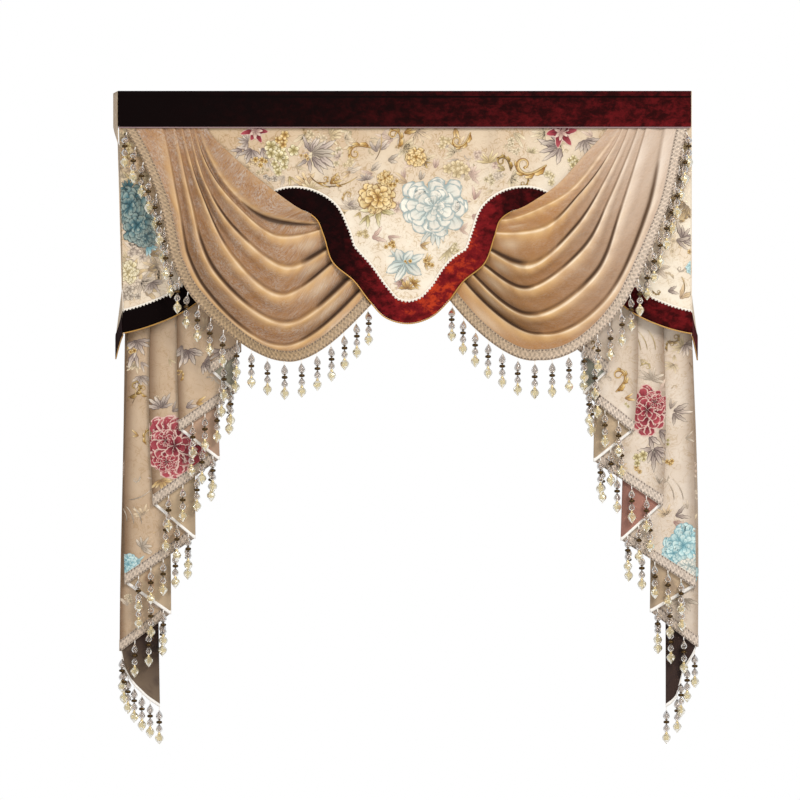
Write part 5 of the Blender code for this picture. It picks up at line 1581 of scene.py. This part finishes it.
def tail_surface(table, q, w):
    """Middle of a pleated tail at q, the run's number and a share of it, and w, 0 at its top, 1 at its hem.

    In the first and last TURN_SHARE of a run the cloth goes round a half circle between two layers,
    whose diameter is the pitch of the layers; between them it is a nearly flat run.
    """
    q, w = np.broadcast_arrays(q, w)
    runs = len(table) - 1
    run, share = run_share(table, q)
    f = q - run
    leaving = (f > 1 - TURN_SHARE) & (run < runs - 1)
    arriving = (f < TURN_SHARE) & (run > 0)
    hem_z = hem_height(table, run, share)
    z = TAIL_TOP + (hem_z - TAIL_TOP) * w
    splay = splay_at(z)
    near, far, radius, pitch = run_span(table, run, w, splay)
    angle = np.where(leaving, (f - 1 + TURN_SHARE) / TURN_SHARE * np.pi / 2, 0.0)
    angle = np.where(arriving, np.pi / 2 + f / TURN_SHARE * np.pi / 2, angle)
    x = near + (far - near) * share
    x = np.where(leaving, far + radius * np.sin(angle), x)
    x = np.where(arriving, near - radius * np.sin(angle), x)
    layer = np.where(leaving, (1 - np.cos(angle)) / 2, np.where(arriving, (-1 - np.cos(angle)) / 2, 0.0))
    bulge = 0.0030 * splay * (1 - np.sin(np.pi * share))
    roll = 0.0007 * splay * ripple(share * 0.8 + run, w, ((1.0, 1.3), (2.0, 2.1)), 9)
    y = TAIL_FRONT_Y + (run + layer) * pitch + bulge + roll * np.sin(np.pi * share)
    return np.stack((x, y, z), axis=-1)


def tail_normals(table, q, w, side):
    """Unit normals on the face side of a tail, from small steps across and down it."""
    step = 0.004
    onward, back = np.minimum(q + step, len(table) - 1.001), np.maximum(q - step, 0)
    across = tail_surface(table, onward, w) - tail_surface(table, back, w)
    down = tail_surface(table, q, w) - tail_surface(table, q, w - step)
    normal = np.cross(across, down) * (1 if side == "left" else -1)
    return normal / np.linalg.norm(normal, axis=-1)[..., None]


def tail_columns(table):
    """Places across a tail: close together round each turn, wider on the flat runs."""
    turn = np.linspace(-TURN_SHARE, TURN_SHARE, 9)
    flat = np.linspace(2.5 * TURN_SHARE, 1 - 2.5 * TURN_SHARE, 14)
    runs = len(table) - 1
    places = [run + flat for run in range(runs)] + [run + turn for run in range(1, runs)]
    return np.sort(np.concatenate(places + [np.array((TURN_SHARE, runs - TURN_SHARE))]))


TAIL_BACKS = {
    # colour of the floats on each reversed run and their least share, from the front one to the rear one
    "left": (("#8c9488", 0.7), ("#b4686a", 0.25), ("#b09a78", 0.1), ("#a07858", 0.0), ("#7a5c50", 0.0)),
    "right": (("#8a948a", 0.8), ("#b09c80", 0.2), ("#a4605a", 0.75), ("#a08a74", 0.1), ("#84503e", 0.2)),
}


def tail_strands(side, table):
    """Places of a tail's bead strands: even shares of each run, and even lengths along the last run."""
    at = []
    for run in range(len(table) - 1):
        count = max(2, round(abs(table[run + 1, 1] - table[run, 1]) / TAIL_STRAND_PITCH))
        share = (np.arange(count) + 0.5) / (count + 0.5)
        share = 1 - share if run % 2 else share
        if run == len(table) - 2:
            fine = np.linspace(0.0, 1.0, 60)
            along = lengths_along(tail_surface(table, run_place(run, fine), 1.0))
            share = np.interp(np.linspace(0.07, 0.99, LAST_RUN_STRANDS[side]) * along[-1], along, fine)
        at.append(run_place(run, share))
    return np.concatenate(at)


def make_tail(side, table, motifs):
    """Pleated tail with its woven flowers, the braid and tape along its hem, and its bead strands."""
    q = tail_columns(table)
    w = np.linspace(0.0, 1.0, TAIL_ROWS)
    order = slice(None) if side == "left" else slice(None, None, -1)
    grid = tail_surface(table, q[None, :], w[:, None])[order]
    shape = grid.shape[:2]
    run = np.clip(np.floor(q).astype(int), 0, len(table) - 2)
    to_fold = np.minimum(q - run, 1 - (q - run))
    codes, dyes = zip(*TAIL_BACKS[side])
    back = np.array([tint(code) for code in codes])[run // 2]
    # painted shade: darker along each run's fold edges, more so towards the hem
    painted_shade = 0.85 * np.exp(-((to_fold / 0.11) ** 2)) * np.clip(np.linspace(0.6, 1.2, shape[0]), 0, 1)[:, None]
    # painted shade on the reverse: near the folds, and fully over the rearmost run, a little lighter at its
    # hem
    painted_reverse_shade = np.broadcast_to(0.35 * np.exp(-((to_fold / 0.2) ** 2)), shape)
    painted_reverse_shade = np.where(run == len(table) - 2, np.interp(w, (0.90, 1.0), (1.0, 0.72))[:, None], painted_reverse_shade)
    dyed = np.broadcast_to(np.array(dyes)[run // 2], shape)
    # painted shade: the left tail's ground is warmer and darker than the right one's
    fields = {"warm": np.full(shape, 0.95 if side == "left" else 0.25), "painted_shade": painted_shade, "painted_reverse_shade": painted_reverse_shade,
              "back": np.broadcast_to(back, shape + (3,)), "dyed": dyed}
    cloth = add_cloth(f"tail_cloth_{side}", grid, TAIL_GROUND, REVERSE, 0.0011, fields)
    cloth.modifiers["Thickness"].offset = 0.0
    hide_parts(f"tail_{side}")

    drop = TAIL_TOP - hem_height(table, *run_share(table, q))

    def hem_strip(width, rows, out):
        level = 1 - np.linspace(width, 0.0, rows)[:, None] / drop
        return (tail_surface(table, q, level) + tail_normals(table, q, level, side) * out)[order]

    strip = hem_strip(TAIL_BRAID, 5, 0.0017)
    # painted shade: the left tail's braid is browner than the right one's
    brown = np.full(strip.shape[:2], 0.35 if side == "left" else 0.15)
    braid = add_cloth(f"tail_braid_{side}", strip, BRAID, BRAID, 0.0009, {"warm": brown}, braid_uv(strip))
    tape = add_cloth(f"tail_tape_{side}", hem_strip(0.010, 3, -0.0008)[:, ::-1], TAPE, TAPE, 0.0006)
    at = tail_strands(side, table)
    roots = tail_surface(table, at, np.ones(len(at)))
    asides = np.broadcast_to((0.0, 0.0, -0.002), roots.shape)
    beads = add_strands(f"tail_beads_{side}", roots, asides, np.full(len(at), 0.010), 8)
    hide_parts(f"tail_fringe_{side}")
    flowers = add_tail_flowers(side, table, motifs)
    declare(grid)


def add_tail_flowers(side, table, motifs):
    """Woven flowers of a tail: each lies on the face of its own run and bends round the run's ends."""
    parts = []
    chance = np.random.default_rng(3)
    sign = -1 if side == "left" else 1
    fill = tonal_fill(*TAIL_FILL)
    fill = tuple((2 * chance.integers(1, 5), kind, sign * x, *rest) for kind, x, *rest in fill)
    for number, (run, *row) in enumerate(fill + motifs):
        low, high = sorted(abs(table[run:run + 2, 1]))
        if low < sign * row[1] < high:
            for part in weave_motif(number, *row, number < len(fill)):
                parts.append(part | {"run": np.full(part["x"].shape, run)})
    woven = join_parts(parts)
    run, x, z = woven["run"], woven["x"], woven["z"]
    share = np.full(run.shape, 0.5)
    for _ in range(6):
        hem_z = hem_height(table, run, share)
        w = (z - TAIL_TOP) / (hem_z - TAIL_TOP)
        near, far, radius, _ = run_span(table, run, w, splay_at(z))
        share = np.clip((x - near) / (far - near), 0.0, 1.0)
    w = np.clip(w, 0.02, 1 - 0.9 * TAIL_BRAID / (TAIL_TOP - hem_z))
    past = np.clip((x - far) / radius, 0.0, 0.97)
    before = np.clip((near - x) / radius, 0.0, 0.97) * (run > 0)
    around = (np.arcsin(past) - np.arcsin(before)) / (np.pi / 2)
    q = np.maximum(run_place(run, share) + TURN_SHARE * around, TURN_SHARE)
    points = tail_surface(table, q, w) + tail_normals(table, q, w, side) * (0.0008 + woven["lift"])[..., None]
    return add_petals(f"tail_flowers_{side}", woven, points)


make_header()
make_panel()
for return_name, return_row in RETURNS.items():
    make_return(return_name, return_row)
make_swag("left", SWAG_LEFT)
make_swag("right", SWAG_RIGHT)
make_tail("left", TAIL_LEFT, TAIL_LEFT_MOTIFS)
make_tail("right", TAIL_RIGHT, TAIL_RIGHT_MOTIFS)


# Floor, light and camera
def add_floor(half, height):
    """Pale floor below the valance, a square of one face."""
    mesh = bpy.data.meshes.new("floor")
    corners = [(-half, -half, height), (half, -half, height), (half, half, height), (-half, half, height)]
    mesh.from_pydata(corners, [], [(0, 1, 2, 3)])
    mesh.materials.append(new_finish("pale floor", 0.9, Base_Color=(0.9, 0.9, 0.9, 1.0))[0])
    floor = bpy.data.objects.new("floor", mesh)
    bpy.context.scene.collection.objects.link(floor)


def add_light(name, place, size, power, colour):
    """Square soft light aimed at the middle of the valance."""
    data = bpy.data.lights.new(name, "AREA")
    data.size = size
    data.energy = power
    data.color = colour
    light = bpy.data.objects.new(name, data)
    light.location = place
    aim = np.array((0.0, 0.0, -0.7)) - np.array(place)
    flat = np.hypot(aim[0], aim[1])
    light.rotation_euler = (np.arctan2(flat, -aim[2]), 0.0, np.arctan2(aim[1], aim[0]) - np.pi / 2)
    bpy.context.scene.collection.objects.link(light)


def white_room(strength):
    """World that looks white and lights the valance weakly from all sides."""
    world = bpy.data.worlds.new("white room")
    world.use_nodes = True
    tree = world.node_tree
    tree.nodes.clear()
    white = (1.0, 1.0, 1.0, 1.0)
    light, look = (add_node(tree, "Background", {0: white, 1: power}).outputs[0] for power in (strength, 1.0))
    seen = add_node(tree, "LightPath").outputs["Is Camera Ray"]
    add_node(tree, "OutputWorld", {0: add_node(tree, "MixShader", {0: seen, 1: light, 2: look}).outputs[0]})
    bpy.context.scene.world = world


add_floor(5.0, -2.35)
add_light("key light", (2.0, -3.5, 1.8), 1.8, 150.0, (1.0, 0.98, 0.95))
add_light("fill light", (-2.6, -3.2, 0.2), 2.6, 40.0, (0.97, 0.98, 1.0))
white_room(0.50)

camera_data = bpy.data.cameras.new("front camera")
camera_data.lens = 257.8
camera_data.clip_end = 60.0
camera = bpy.data.objects.new("front camera", camera_data)
camera.location = (-0.0118, -15.0, -0.809)
camera.rotation_euler = (np.pi / 2, 0.0, 0.0)
bpy.context.scene.collection.objects.link(camera)
bpy.context.scene.camera = camera
bpy.context.scene.view_settings.view_transform = "Standard"
